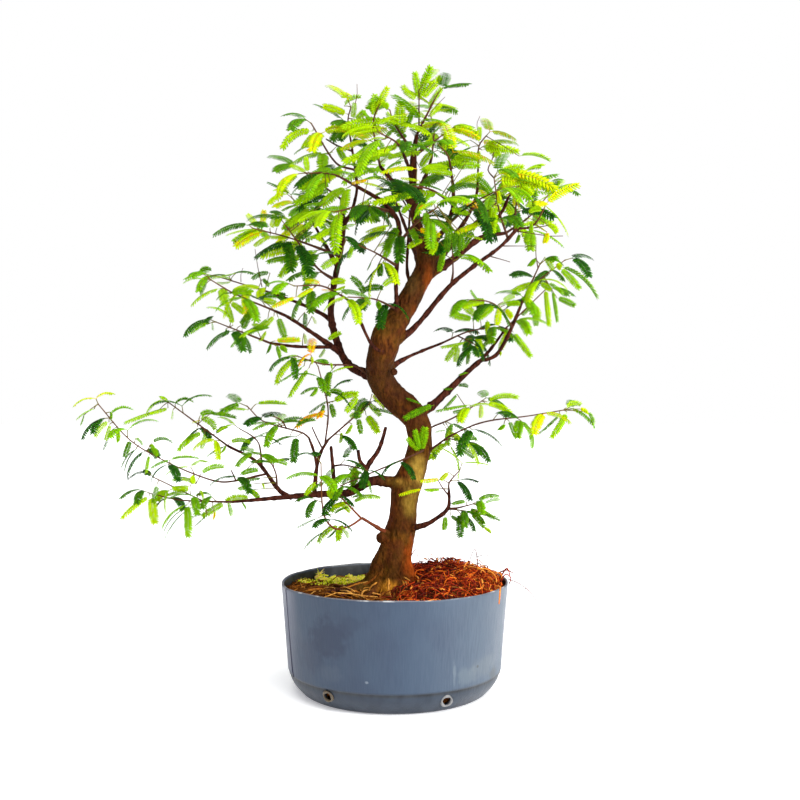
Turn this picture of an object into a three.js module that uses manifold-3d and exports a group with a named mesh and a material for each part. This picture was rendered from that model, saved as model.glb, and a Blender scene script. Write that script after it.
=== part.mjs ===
// A pink powder puff bonsai out of flower, in its round plastic training pot.
// Millimetres, +Z up. The origin is the centre of the pot's underside, and the front faces -Y.
import * as THREE from "three";
import { mergeVertices } from "three/addons/utils/BufferGeometryUtils.js";
import Module from "manifold-3d";

const wasm = await Module();
wasm.setup();

// Pot
const potRimRadius = 125;
const potHeight = 119;
const potWall = 2.6;
const rimRounding = 0.8;
const potFloor = 3;
const bandTop = 24.5; // the lower band is pressed in below this height
const bandStep = 1.8;
const bandLow = bandTop - bandStep - 0.1;
const bandMiddle = 6.5;
const wallStart = bandTop + 3; // above this height the inside of the wall is straight
const radiusAtBand = 117.3;
const footRadius = 101;
const potSides = 32;
const drainHoles = [
  { degrees: 234, height: 16, radius: 4.6 },
  { degrees: 298, height: 13.5, radius: 5 },
  { degrees: 1, height: 15, radius: 4.7 },
  { degrees: 59, height: 16.5, radius: 4.5 },
  { degrees: 117, height: 14, radius: 4.9 },
  { degrees: 177, height: 15.5, radius: 4.6 },
];
const lipWidth = 2.2;
const lipStandsOut = 2.4;
const lipSides = 8;
const lipSunk = 1;
const boreLength = 16;

// Soil
const soilBelowRim = 9;
const moundHeight = 15; // under the fibrous roots on the right
const mound = { startX: -5, endX: 62, fallFrom: 95, fallTo: 119, fall: 0.75 };
const riseAtTrunk = { height: 5, x: -8, y: -14, spread: 1500 };
const hollowBackLeft = { depth: 6, startY: 20, endY: 80, startX: 10, endX: -50 };
const soilRings = [0.3, 0.54, 0.74, 0.89, 1]; // shares of the radius

// Solids that touch on the real tree stand this far apart.
const gap = 0.4;

// Leaves: a pair of feathers on a short stalk
const leafSpacing = 25; // along a twig
const stalkLength = 8;
const forkAhead = 3; // the feathers part this far past the stalk's end
const featherLength = 40;
const featherHalfWidth = 6.6;
const featherThickness = 0.9;
// Its leaflets, joined into two broad teeth on each side: share of the length, share of the half width.
const featherEdge = [[0.23, 0.9], [0.5, 0.42], [0.77, 1]];
const featherMiddle = 0.45;
const goldenAngle = 2.39996;
// How a leaf may be turned and lifted to keep clear of what is already there, in the order tried.
const leafBends = [[0, 0], [0.3, 0], [-0.3, 0], [0, 0.35], [0, -0.35], [0.6, 0.2], [-0.6, 0.2], [0.4, -0.5],
  [-0.4, -0.5], [0.9, 0.4], [-0.9, 0.4]];

// Routes are read off a front view of the tree: [across, down, depth, radius].
// Across and down are in sheet units, about 1.1 mm each at the trunk, and depth and radius are in mm.
const sheet = { distance: 1150, focal: 1038, middle: 400, eyeX: 6, eyeZ: 318 };

const trunkRoute = [
  [385, 614, -16, 24], [386, 600, -16, 26], [388, 586, -16, 25.5], [391, 570, -16, 22],
  [395, 553, -15, 18.5],
  [399, 538, -13, 17.2], [402, 522, -11, 15.2], [403, 505, -8, 14.8], [405, 490, -5, 16],
  [411, 476, -2, 15],
  [417, 460, 2, 13.8], [420, 442, 5, 12.8], [417, 424, 6, 14], [409, 411, 5, 15], [397, 400, 2, 14.6],
  [387, 389, -2, 14], [380, 376, -6, 14.6], [380, 362, -11, 15], [383, 349, -15, 15.8],
  [386, 338, -16, 16.2],
  [392, 326, -14, 15.2], [401, 313, -9, 13], [410, 299, -4, 12], [417, 285, 0, 11.8], [424, 271, 3, 11.2],
  [426, 258, 4, 10.2], [423, 247, 4, 8.4], [419, 232, 3, 6], [415, 212, 0, 5], [413, 190, -3, 4.4],
  [413, 168, -5, 4.2], [414, 152, -6, 3.6], [417, 134, -7, 2],
];

// Each bough starts inside the wood that it grows from.
const boughRoutes = {
  lowLeft: [[402, 486, -3, 9], [390, 482, -5, 6.5], [372, 481, -10, 5.4], [350, 492, -18, 5],
    [338, 494, -20, 4.6], [322, 494, -22, 3.8], [232, 502, -34, 1.5]],
  lowLeftRiser: [[292, 498, -26, 2.8], [280, 491, -22, 2.8], [257, 462, -6, 1.9], [228, 446, 6, 1.4]],
  forkedStub: [[368, 482, -10, 4], [366, 470, -9, 3], [379, 449, -5, 2.5], [386, 427, -2, 1.9]],
  shortStub: [[366, 468, -9, 2.4], [360, 461, -10, 2.2], [358, 450, -11, 2.1]],
  uprightStub: [[335, 493, -20, 3], [331, 446, -17, 1.6]],
  lowLeftUpright: [[314, 495, -23, 3], [317, 466, -12, 2], [321, 452, -6, 1.9], [328, 440, 0, 1.6]],
  lowLeftUprightFork: [[317, 468, -13, 1.8], [314, 452, -14, 1.6], [309, 438, -16, 1.3]],
  knobShoot: [[394, 537, -16, 5], [380, 529, -27, 2.1], [362, 518, -38, 1.6]],
  lowRight: [[404, 530, -18, 5], [424, 525, -28, 2.8], [434, 520, -31, 2.5], [448, 508, -34, 2.2],
    [449, 490, -33, 1.4]],
  rightFork: [[412, 414, 8, 9], [426, 410, 12, 5.4], [436, 402, 15, 4.6], [480, 361, 23, 2.7],
    [489, 359, 22, 2.3], [498, 353, 20, 2.2], [511, 329, 13, 2.2], [521, 305, 7, 1.7]],
  rightForkBack: [[479, 362, 23, 2.2], [490, 350, 31, 1.9], [506, 328, 42, 1.2]],
  midRight: [[386, 370, -4, 5], [408, 357, 6, 1.9], [442, 343, 19, 1.5]],
  upperMidRight: [[394, 342, -14, 6], [413, 329, -17, 3.1], [449, 287, -28, 2.7], [474, 266, -33, 2.3],
    [500, 247, -34, 1.9], [518, 228, -30, 2.2]],
  upperRight: [[424, 274, 4, 9], [436, 270, 7, 5.4], [448, 263, 11, 4.6], [481, 238, 24, 3.2],
    [506, 233, 32, 2]],
  upperRightStub: [[482, 239, 24, 2.6], [503, 210, 6, 1.9], [508, 198, 2, 1.6]],
  frontUpright: [[398, 320, -14, 4], [397, 308, -22, 2.6], [396, 278, -30, 2.3], [399, 245, -33, 2.6],
    [399, 230, -33, 2.9], [397, 219, -32, 3], [381, 201, -28, 2.4], [358, 187, -24, 1.9]],
  backUpright: [[413, 289, 6, 3], [408, 276, 16, 2], [407, 262, 21, 1.7], [410, 212, 30, 1.3]],
  leftBough: [[384, 382, 0, 11], [371, 376, 6, 6.5], [350, 366, 12, 5], [342, 355, 15, 4.6],
    [337, 342, 17, 4.4], [331, 316, 19, 4], [334, 284, 21, 3.6], [341, 250, 22, 3], [345, 223, 21, 2.6],
    [351, 213, 18, 2], [355, 200, 15, 1.8], [357, 186, 12, 1.6], [352, 148, 8, 1.4]],
  leftBoughFork: [[345, 226, 21, 2.4], [341, 199, 31, 1.5]],
  leftArmLow: [[341, 353, 15, 4], [311, 332, -10, 2.2], [288, 317, -24, 1.8], [275, 311, -30, 1.5]],
  leftArmFront: [[333, 347, 8, 2.6], [324, 347, -4, 2], [310, 347, -14, 1.8], [290, 346, -24, 1.7],
    [270, 343, -32, 1.5]],
  leftArmBack: [[332, 321, 19, 3.4], [322, 314, 26, 2.3], [301, 304, 40, 1.9], [272, 293, 50, 1.4]],
  redShoot: [[388, 352, -24, 3.4], [378, 350, -32, 1.9], [370, 342, -37, 1.8], [352, 304, -50, 1.5],
    [344, 297, -54, 1.4]],
  crownFrontRight: [[425, 262, 4, 6], [434, 244, -6, 3.4], [446, 226, -16, 2.8], [453, 206, -24, 2.2],
    [453, 184, -28, 1.9]],
  crownBackRight: [[428, 266, 5, 5], [460, 228, 30, 2.5], [471, 210, 38, 2.1], [477, 192, 44, 1.7],
    [478, 172, 46, 1.4]],
  crownLeft: [[414, 207, -1, 4], [380, 166, -24, 1.7]],
  crownBack: [[414, 202, 0, 4], [428, 170, 42, 2], [432, 156, 60, 1.6]],
  crownFront: [[413, 188, -3, 3.6], [410, 172, -26, 2.2], [402, 150, -66, 1.5]],
  leftBack: [[338, 268, 22, 3], [316, 228, 90, 1.6]],
  highBack: [[420, 282, 4, 7], [418, 262, 34, 3.2], [412, 244, 62, 2.5], [405, 226, 84, 2],
    [398, 208, 100, 1.7]],
  rightBack: [[428, 272, 6, 6], [446, 252, 44, 2.8], [462, 236, 74, 2.3], [478, 220, 96, 1.8]],
};

// Each leafy twig is a node: the size of its leaves, how far they hang (0 level, 1 straight down), the bare
// share of each route before the first leaf, and one or more routes.
const leafyTwigs = {
  lowLeftTip: { size: 0.8, hang: 0.75, bare: 0.1, routes: [
    [[232, 502, -34, 1.5], [180, 500, -40, 0.9], [149, 493, -42, 0.7]],
    [[203, 501, -38, 1], [153, 477, -52, 0.7]]] },
  longDroopingTip: { size: 0.8, hang: 0.8, bare: 0.12, routes: [
    [[266, 474, -12, 1.7], [226, 482, -38, 1.2], [205, 478, -48, 1], [165, 461, -62, 0.8],
      [130, 440, -70, 0.8], [98, 404, -74, 0.7]]] },
  lowLeftRiserTip: { size: 0.8, hang: 0.7, bare: 0.05, routes: [
    [[228, 446, 6, 1.4], [168, 402, 24, 0.7]]] },
  lowLeftRiserSide: { size: 0.8, hang: 0.4, bare: 0.2, routes: [
    [[262, 467, -8, 1.6], [259, 444, 4, 1.1], [252, 436, 10, 0.9], [240, 429, 16, 0.7]]] },
  lowLeftUprightLeft: { size: 0.8, hang: 0.3, bare: 0.1, routes: [
    [[309, 438, -16, 1.3], [303, 433, -20, 1.2], [263, 421, -33, 0.8], [247, 406, -41, 0.7]],
    [[287, 429, -25, 0.9], [281, 420, -36, 0.8], [270, 415, -46, 0.7]]] },
  lowLeftUprightRight: { size: 0.8, hang: 0.45, bare: 0.15, routes: [
    [[328, 440, 0, 1.6], [369, 404, 24, 0.7]]] },
  lowLeftUprightMiddle: { size: 0.8, hang: 0.55, bare: 0.3, routes: [
    [[325, 445, -4, 1.4], [328, 408, -14, 1], [318, 366, -30, 0.7]]] },
  knobShootTips: { size: 0.8, hang: 0.65, bare: 0.15, routes: [
    [[362, 518, -38, 1.6], [350, 526, -46, 1.3], [336, 529, -54, 1.2], [326, 520, -60, 1.1],
      [322, 502, -64, 1], [321, 463, -67, 0.7]],
    [[361, 518, -39, 1.4], [331, 487, -51, 0.8]]] },
  lowLeftInner: { size: 0.8, hang: 0.4, bare: 0.4, routes: [
    [[277, 488, -20, 1.6], [276, 474, -32, 1], [271, 463, -42, 0.8], [263, 456, -50, 0.7]]] },
  stubTwig: { size: 0.8, hang: 0.6, bare: 0.15, routes: [
    [[333, 466, -18, 1.5], [344, 465, -26, 1], [366, 470, -42, 0.7]]] },
  twigAcrossTrunk: { size: 0.8, hang: 0.6, bare: 0.35, routes: [
    [[424, 448, 0, 3], [420, 452, -16, 1.3], [340, 486, -48, 0.7]]] },
  rightLong: { size: 0.95, hang: 0.65, bare: 0.2, routes: [
    [[427, 452, 1, 3], [433, 448, -4, 1.6], [452, 435, -16, 1.2], [484, 422, -27, 1],
     [528, 416, -36, 0.8], [564, 410, -40, 0.7]],
    [[442, 441, -11, 1], [452, 439, -4, 0.8], [462, 441, 4, 0.7]]] },
  rightShort: { size: 0.95, hang: 0.5, bare: 0.3, routes: [
    [[422, 432, 8, 2.6], [432, 427, 12, 1.3], [453, 418, 15, 1], [482, 401, 13, 0.7]]] },
  lowRightTips: { size: 0.8, hang: 0.6, bare: 0.15, routes: [
    [[447, 509, -34, 2], [457, 508, -38, 1.2], [473, 504, -44, 0.7]],
    [[451, 509, -35, 1.1], [473, 512, -22, 0.7]]] },
  lowRightTop: { size: 0.8, hang: 0.3, bare: 0.3, routes: [
    [[449, 490, -33, 1.4], [449, 483, -32, 1.1], [460, 470, -27, 0.7]]] },
  rightForkTop: { size: 0.95, hang: 0.7, bare: 0.1, routes: [
    [[521, 305, 7, 1.7], [540, 264, -4, 0.8]],
    [[530, 287, 3, 1.1], [565, 260, 22, 0.7]]] },
  rightForkBackTip: { size: 0.95, hang: 0.6, bare: 0.1, routes: [
    [[506, 328, 42, 1.2], [545, 290, 62, 0.7]]] },
  rightForkInner: { size: 0.95, hang: 0.55, bare: 0.1, routes: [
    [[512, 327, 12, 1.8], [497, 306, -10, 0.9], [486, 301, -20, 0.8], [474, 300, -28, 0.7]]] },
  midRightTip: { size: 0.95, hang: 0.6, bare: 0.1, routes: [
    [[442, 343, 19, 1.5], [470, 331, 29, 1], [500, 327, 38, 0.7]],
    [[458, 336, 25, 1], [478, 346, 8, 0.7]]] },
  upperMidRightUpright: { size: 1.1, hang: 0.5, bare: 0.35, routes: [
    [[451, 285, -28, 2], [453, 272, -32, 1.1], [451, 226, -46, 0.7]]] },
  upperMidRightTip: { size: 1.1, hang: 0.35, bare: 0.1, routes: [
    [[518, 228, -30, 2], [527, 228, -34, 1.4], [535, 224, -38, 1.2], [544, 209, -43, 0.7]]] },
  upperMidRightRiser: { size: 1.1, hang: 0.5, bare: 0.25, routes: [
    [[508, 239, -32, 1.7], [499, 210, -40, 1], [494, 178, -46, 0.7]]] },
  rightRim: { size: 1.1, hang: 0.4, bare: 0.3, routes: [
    [[514, 231, -31, 1.6], [517, 200, -18, 1], [526, 176, -6, 0.7]]] },
  upperRightTip: { size: 1.1, hang: 0.4, bare: 0.1, routes: [
    [[506, 233, 32, 1.8], [530, 216, 48, 1.1], [549, 194, 60, 0.7]]] },
  leaderTop: { size: 1.1, hang: 0.05, bare: 0.1, routes: [
    [[417, 134, -7, 2], [438, 93, -11, 0.8]],
    [[419, 129, -8, 1.3], [419, 90, -22, 0.7]]] },
  leaderLeft: { size: 1.1, hang: 0.25, bare: 0.1, routes: [
    [[414, 154, -6, 2.4], [393, 121, -25, 0.9], [390, 110, -29, 0.7]]] },
  leaderRight: { size: 1.1, hang: 0.3, bare: 0.15, routes: [
    [[414, 156, -5, 2.4], [428, 146, 4, 1.2], [449, 130, 19, 0.7]]] },
  topLeft: { size: 1.1, hang: 0.15, bare: 0.05, routes: [
    [[352, 148, 8, 1.4], [348, 120, 0, 1], [351, 107, -4, 0.8]]] },
  topMiddle: { size: 1.1, hang: 0.2, bare: 0.05, routes: [
    [[380, 166, -24, 1.7], [374, 134, -36, 1.2], [374, 118, -40, 1], [380, 104, -44, 0.8]]] },
  topLeftLong: { size: 1.1, hang: 0.4, bare: 0.1, routes: [
    [[355, 170, 10, 1.5], [336, 163, -4, 1.2], [311, 123, -20, 0.8]]] },
  leftUpper: { size: 1.1, hang: 0.4, bare: 0.05, routes: [
    [[341, 199, 31, 1.5], [300, 169, 50, 0.7]]] },
  frontLeftUpper: { size: 1.1, hang: 0.45, bare: 0.05, routes: [
    [[358, 187, -24, 1.9], [332, 174, -44, 1.2], [305, 173, -62, 0.8]]] },
  farLeft: { size: 1.1, hang: 0.35, bare: 0.2, routes: [
    [[340, 256, 22, 2.4], [290, 238, -24, 1], [252, 228, -47, 0.7]]] },
  leftFront: { size: 1.1, hang: 0.45, bare: 0.2, routes: [
    [[335, 280, 20, 2.8], [322, 272, 2, 1.4], [313, 263, -12, 1.3], [297, 241, -36, 1],
     [286, 226, -46, 0.8]]] },
  leftArmLowTip: { size: 0.95, hang: 0.55, bare: 0.05, routes: [
    [[275, 311, -30, 1.5], [235, 294, -47, 1], [211, 280, -55, 0.7]]] },
  leftArmFrontTip: { size: 0.95, hang: 0.6, bare: 0.05, routes: [
    [[270, 343, -32, 1.5], [216, 322, -52, 0.7]]] },
  leftArmBackTip: { size: 0.95, hang: 0.5, bare: 0.05, routes: [
    [[272, 293, 50, 1.4], [216, 276, 66, 0.7]]] },
  redShootTip: { size: 0.95, hang: 0.5, bare: 0.05, routes: [
    [[344, 297, -54, 1.4], [322, 286, -66, 1.1], [294, 286, -77, 0.7]]] },
  thinLeft: { size: 0.95, hang: 0.75, bare: 0.25, routes: [
    [[396, 309, -20, 2], [374, 299, -44, 1], [348, 297, -62, 0.7]]] },
  frontUprightSide: { size: 0.95, hang: 0.7, bare: 0.25, routes: [
    [[397, 266, -32, 2], [374, 252, -54, 1], [346, 240, -73, 0.7]]] },
  lowLeftHanging: { size: 0.8, hang: 0.85, bare: 0.4, routes: [
    [[370, 375, 4, 3], [354, 366, -8, 1.2], [322, 364, -28, 0.9], [297, 356, -44, 0.7]]] },
  crownRightFront: { size: 1.1, hang: 0.35, bare: 0.05, routes: [
    [[453, 184, -28, 1.9], [448, 156, -44, 1.1], [440, 146, -52, 0.8]]] },
  crownRightBack: { size: 1.1, hang: 0.4, bare: 0.05, routes: [
    [[478, 172, 46, 1.4], [479, 146, 38, 1], [486, 136, 34, 0.8]]] },
  crownRight: { size: 1.1, hang: 0.5, bare: 0.05, routes: [
    [[508, 198, 2, 1.5], [516, 188, 4, 1.2], [527, 182, 8, 0.8]]] },
  crownRightLow: { size: 1.1, hang: 0.6, bare: 0.15, routes: [
    [[446, 226, -16, 2.4], [470, 205, -52, 1.2], [494, 192, -82, 0.8]]] },
  crownBackTip: { size: 1.1, hang: 0.3, bare: 0.05, routes: [
    [[432, 156, 60, 1.6], [434, 128, 82, 1], [430, 114, 90, 0.8]]] },
  crownFrontTip: { size: 1.1, hang: 0.4, bare: 0.05, routes: [
    [[402, 150, -66, 1.5], [396, 142, -80, 1.2], [378, 132, -102, 0.8]]] },
  leftBackTip: { size: 1.1, hang: 0.5, bare: 0.05, routes: [
    [[316, 228, 90, 1.6], [300, 206, 116, 1], [292, 198, 124, 0.8]]] },
  highBackTip: { size: 1.1, hang: 0.45, bare: 0.05, routes: [
    [[398, 208, 100, 1.7], [386, 176, 126, 1], [378, 160, 134, 0.8]]] },
  rightBackTip: { size: 1.1, hang: 0.5, bare: 0.05, routes: [
    [[478, 220, 96, 1.8], [490, 208, 112, 1.4], [514, 190, 132, 0.8]]] },
  crownFrontMiddle: { size: 1.1, hang: 0.6, bare: 0.15, routes: [
    [[399, 243, -33, 2.4], [418, 221, -70, 1.2], [438, 207, -98, 0.8]]] },
  crownFrontLeft: { size: 1.1, hang: 0.6, bare: 0.1, routes: [
    [[389, 211, -30, 2.4], [362, 206, -64, 1.2], [335, 212, -90, 0.8]]] },
  leftBackLow: { size: 1.1, hang: 0.5, bare: 0.1, routes: [
    [[343, 234, 22, 2.4], [322, 218, 48, 1.2], [298, 207, 66, 0.8]]] },
  crownFrontHigh: { size: 1.1, hang: 0.45, bare: 0.1, routes: [
    [[453, 204, -24, 2], [429, 189, -60, 1.2], [403, 186, -90, 0.8]]] },
  crownBackRightTip: { size: 1.1, hang: 0.5, bare: 0.1, routes: [
    [[471, 210, 38, 2], [486, 200, 54, 1.4], [512, 179, 76, 0.8]]] },
  backUprightTip: { size: 1.1, hang: 0.5, bare: 0.05, routes: [
    [[410, 212, 30, 1.3], [396, 190, 50, 1], [386, 182, 58, 0.8]]] },
};

// Surface roots: bearing from the trunk in degrees (0 is +X), how far out they run, thickness and
// sideways sweep.
const trunkFoot = { x: -9, y: -16 };
const rootStart = 12; // out from the middle of the trunk
const rootClimb = 9; // up its side
const surfaceRoots = [
  { degrees: 192, reach: 84, radius: 4, sweep: 9 },
  { degrees: 216, reach: 72, radius: 4.6, sweep: -8 },
  { degrees: 245, reach: 56, radius: 5.2, sweep: 6 },
  { degrees: 275, reach: 54, radius: 4.8, sweep: -5 },
  { degrees: 308, reach: 60, radius: 4.4, sweep: -8 },
  { degrees: 345, reach: 62, radius: 4, sweep: 9 },
  { degrees: 50, reach: 56, radius: 4.2, sweep: -7 },
  { degrees: 125, reach: 56, radius: 4.4, sweep: 8 },
];

const trunkSides = 12;
const thinBough = 3.3; // a bough that starts thinner than this has four sides, not five
const finestEdge = 0.03; // shorter edges, left by the cuts, are merged

const colours = { pot: 0x5b6f8c, soil: 0x5a2c14, wood: 0x6b4424, leaf: 0x6fae1e };

function fromSheet([across, down, depth]) {
  const scale = (sheet.distance + depth) / sheet.focal;
  return new THREE.Vector3(
    sheet.eyeX + (across - sheet.middle) * scale,
    depth,
    sheet.eyeZ + (sheet.middle - down) * scale,
  );
}

function smoothStep(low, high, value) {
  const t = Math.min(1, Math.max(0, (value - low) / (high - low)));
  return t * t * (3 - 2 * t);
}

// A run of numbers from 0 to 1 that is the same each time for the same seed.
function randomRun(seed) {
  let state = (seed * 2654435761 + 12345) >>> 0;
  return () => {
    state = (Math.imul(state, 1664525) + 1013904223) >>> 0;
    return state / 4294967296;
  };
}

function meshGeometry(points, triangles) {
  const geometry = new THREE.BufferGeometry();
  const numbers = points.flatMap((p) => p.toArray());
  geometry.setAttribute("position", new THREE.Float32BufferAttribute(numbers, 3));
  geometry.setIndex(triangles);
  return geometry;
}

function toSolid(geometry) {
  const bare = geometry.clone();
  bare.deleteAttribute("normal");
  bare.deleteAttribute("uv");
  const merged = mergeVertices(bare, 1e-4);
  return new wasm.Manifold(
    new wasm.Mesh({
      numProp: 3,
      vertProperties: new Float32Array(merged.attributes.position.array),
      triVerts: new Uint32Array(merged.index.array),
    }),
  );
}

function toGeometry(solid) {
  const mesh = solid.getMesh();
  const geometry = new THREE.BufferGeometry();
  const points = new Float32Array(mesh.numVert * 3);
  for (let i = 0; i < mesh.numVert; i++) {
    points.set(mesh.vertProperties.subarray(i * mesh.numProp, i * mesh.numProp + 3), i * 3);
  }
  geometry.setAttribute("position", new THREE.BufferAttribute(points, 3));
  geometry.setIndex(new THREE.BufferAttribute(mesh.triVerts, 1));
  geometry.computeVertexNormals();
  return geometry;
}

function joined(solids) {
  return wasm.Manifold.union(solids);
}

// The largest body of a solid, without the scraps that a cut can leave.
function mainBody(solid) {
  return solid.decompose().sort((a, b) => b.volume() - a.volume())[0];
}

// A closed tube through a route's points. grow makes it fatter and longer, for the space that it needs.
function tubeSolid(points, radii, sides, grow = 0, shape = () => 1) {
  const last = points.length - 1;
  const tangents = points.map((p, i) =>
    new THREE.Vector3().subVectors(points[Math.min(i + 1, last)], points[Math.max(i - 1, 0)]).normalize(),
  );
  const across = new THREE.Vector3(0, 1, 0).cross(tangents[0]).normalize();
  const corners = [];
  points.forEach((p, i) => {
    across.addScaledVector(tangents[i], -across.dot(tangents[i])).normalize();
    const beside = new THREE.Vector3().crossVectors(tangents[i], across);
    const centre = p.clone();
    if (i === 0) centre.addScaledVector(tangents[i], -grow);
    if (i === last) centre.addScaledVector(tangents[i], grow);
    for (let k = 0; k < sides; k++) {
      const turn = (k / sides) * 2 * Math.PI;
      const out = across.clone().multiplyScalar(Math.cos(turn)).addScaledVector(beside, Math.sin(turn));
      corners.push(centre.clone().addScaledVector(out, (radii[i] + grow) * shape(out, p)));
    }
  });
  const triangles = [];
  for (let i = 0; i < last; i++) {
    for (let k = 0; k < sides; k++) {
      const a = i * sides + k;
      const b = i * sides + ((k + 1) % sides);
      triangles.push(a, b, a + sides, b, b + sides, a + sides);
    }
  }
  for (let k = 1; k < sides - 1; k++) {
    triangles.push(0, k + 1, k);
    triangles.push(last * sides, last * sides + k, last * sides + k + 1);
  }
  return toSolid(meshGeometry(corners, triangles));
}

function routeSolid(route, sides, grow = 0) {
  return tubeSolid(route.map(fromSheet), route.map((r) => r[3]), sides, grow);
}

// Height of the soil's surface, mounded under the fibrous roots on the right.
function soilHeight(x, y) {
  const fallToWall = 1 - mound.fall * smoothStep(mound.fallFrom, mound.fallTo, Math.hypot(x, y));
  const heap = moundHeight * smoothStep(mound.startX, mound.endX, x) * fallToWall;
  const fromTrunk = (x - riseAtTrunk.x) ** 2 + (y - riseAtTrunk.y) ** 2;
  const rise = riseAtTrunk.height * Math.exp(-fromTrunk / riseAtTrunk.spread);
  const hollow = hollowBackLeft.depth * smoothStep(hollowBackLeft.startY, hollowBackLeft.endY, y) *
    smoothStep(hollowBackLeft.startX, hollowBackLeft.endX, x);
  const lumps = 1.1 * Math.sin(0.21 * x + 0.6) * Math.cos(0.19 * y) +
    0.9 * Math.sin(0.34 * x - 0.27 * y + 1.3);
  return potHeight - soilBelowRim + heap + rise - hollow + lumps;
}

function potRadius(z) {
  if (z <= bandLow) {
    return footRadius + (radiusAtBand - bandStep - footRadius) * Math.sin((z / bandLow) * (Math.PI / 2));
  }
  return radiusAtBand + ((potRimRadius - radiusAtBand) * (z - bandTop)) / (potHeight - bandTop);
}

function buildPot() {
  const underRim = potHeight - rimRounding;
  const outer = [0, bandMiddle, bandLow, bandTop, underRim].map((z) => [potRadius(z), z]);
  const inner = [underRim, wallStart, bandLow, bandMiddle, potFloor]
    .map((z) => [potRadius(z) - potWall, z]);
  const rim = [
    [potRimRadius - rimRounding, potHeight],
    [potRimRadius - potWall + rimRounding, potHeight],
  ];
  const profile = [[0, 0], ...outer, ...rim, ...inner, [0, potFloor]]
    .map(([r, z]) => new THREE.Vector2(r, z));
  const shell = new THREE.LatheGeometry(profile, potSides).rotateX(Math.PI / 2);
  const lips = [];
  const bores = [];
  for (const hole of drainHoles) {
    const wallRadius = potRadius(hole.height);
    const lipProfile = [
      [0, -lipSunk],
      [hole.radius + lipWidth, -lipSunk],
      [hole.radius + lipWidth / 3, lipStandsOut],
      [0, lipStandsOut],
      [hole.radius + lipWidth / 3, lipStandsOut], [0, lipStandsOut],
    ].map(([r, z]) => new THREE.Vector2(r, z));
    const turn = (hole.degrees * Math.PI) / 180;
    const place = (geometry) =>
      geometry.rotateZ(-Math.PI / 2).rotateZ(turn)
        .translate(wallRadius * Math.cos(turn), wallRadius * Math.sin(turn), hole.height);
    lips.push(toSolid(place(new THREE.LatheGeometry(lipProfile, lipSides))));
    bores.push(toSolid(place(new THREE.CylinderGeometry(hole.radius, hole.radius, boreLength, lipSides))));
  }
  return mainBody(joined([toSolid(shell), ...lips]).subtract(joined(bores)));
}

// The soil fills the pot with the same sides as the pot, so that the gap to the wall is even.
function buildSoilBlock() {
  const besideWall = (z) => potRadius(z) - potWall - 1.1 * gap;
  const topRadius = besideWall(potHeight - 2 * soilBelowRim);
  const ring = (radius, heightAt) =>
    Array.from({ length: potSides }, (_, k) => {
      const turn = (k / potSides) * 2 * Math.PI;
      const x = radius * Math.cos(turn);
      const y = radius * Math.sin(turn);
      return new THREE.Vector3(x, y, heightAt(x, y));
    });
  const low = potFloor + gap;
  const rings = [
    ...soilRings.map((share) => ring(topRadius * share, soilHeight)),
    ...[wallStart, bandLow, bandMiddle, low].map((z) => ring(besideWall(z), () => z)),
  ];
  const points = [new THREE.Vector3(0, 0, soilHeight(0, 0)), ...rings.flat(), new THREE.Vector3(0, 0, low)];
  const triangles = [];
  for (let k = 0; k < potSides; k++) {
    const next = (k + 1) % potSides;
    const lowest = 1 + (rings.length - 1) * potSides;
    triangles.push(0, 1 + k, 1 + next, lowest + k, points.length - 1, lowest + next);
    for (let first = 1; first < lowest; first += potSides) {
      triangles.push(first + k, first + potSides + k, first + next);
      triangles.push(first + next, first + potSides + k, first + potSides + next);
    }
  }
  return toSolid(meshGeometry(points, triangles));
}

// The flare at the foot of the trunk and the slow swellings higher up.
function trunkShape(out, centre) {
  const turn = Math.atan2(out.y, out.x);
  const foot = smoothStep(175, 105, centre.z);
  const lobes = 0.2 * foot * Math.cos(5 * turn + 0.9) + 0.09 * foot * Math.cos(3 * turn - 0.4);
  const swellings = 0.045 * Math.sin(3 * turn + centre.z * 0.07) +
    0.03 * Math.sin(2 * turn - centre.z * 0.13);
  return 1 + lobes + swellings;
}

function rootSolid(root, grow) {
  const bearing = (root.degrees * Math.PI) / 180;
  const points = [];
  const radii = [];
  for (const share of [0, 0.25, 0.5, 0.75, 1]) {
    const out = rootStart + (root.reach - rootStart) * share;
    const side = root.sweep * Math.sin(share * Math.PI * 1.3) * share;
    const x = trunkFoot.x + out * Math.cos(bearing) - side * Math.sin(bearing);
    const y = trunkFoot.y + out * Math.sin(bearing) + side * Math.cos(bearing);
    const upTheTrunk = rootClimb * (1 - smoothStep(0, 0.38, share));
    const proud = root.radius * (0.55 - 1.9 * smoothStep(0.6, 1, share)) + upTheTrunk;
    points.push(new THREE.Vector3(x, y, soilHeight(x, y) + proud));
    radii.push(root.radius * (1.25 - 0.85 * share));
  }
  return tubeSolid(points, radii, 5, grow);
}

function woodPieces(grow) {
  const trunkRadii = trunkRoute.map((r) => r[3]);
  const trunk = tubeSolid(trunkRoute.map(fromSheet), trunkRadii, trunkSides, grow, trunkShape);
  const boughs = Object.values(boughRoutes).map((route) =>
    routeSolid(route, route[0][3] > thinBough ? 5 : 4, grow));
  const roots = surfaceRoots.map((root) => rootSolid(root, grow));
  return [trunk, ...boughs, ...roots];
}

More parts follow.
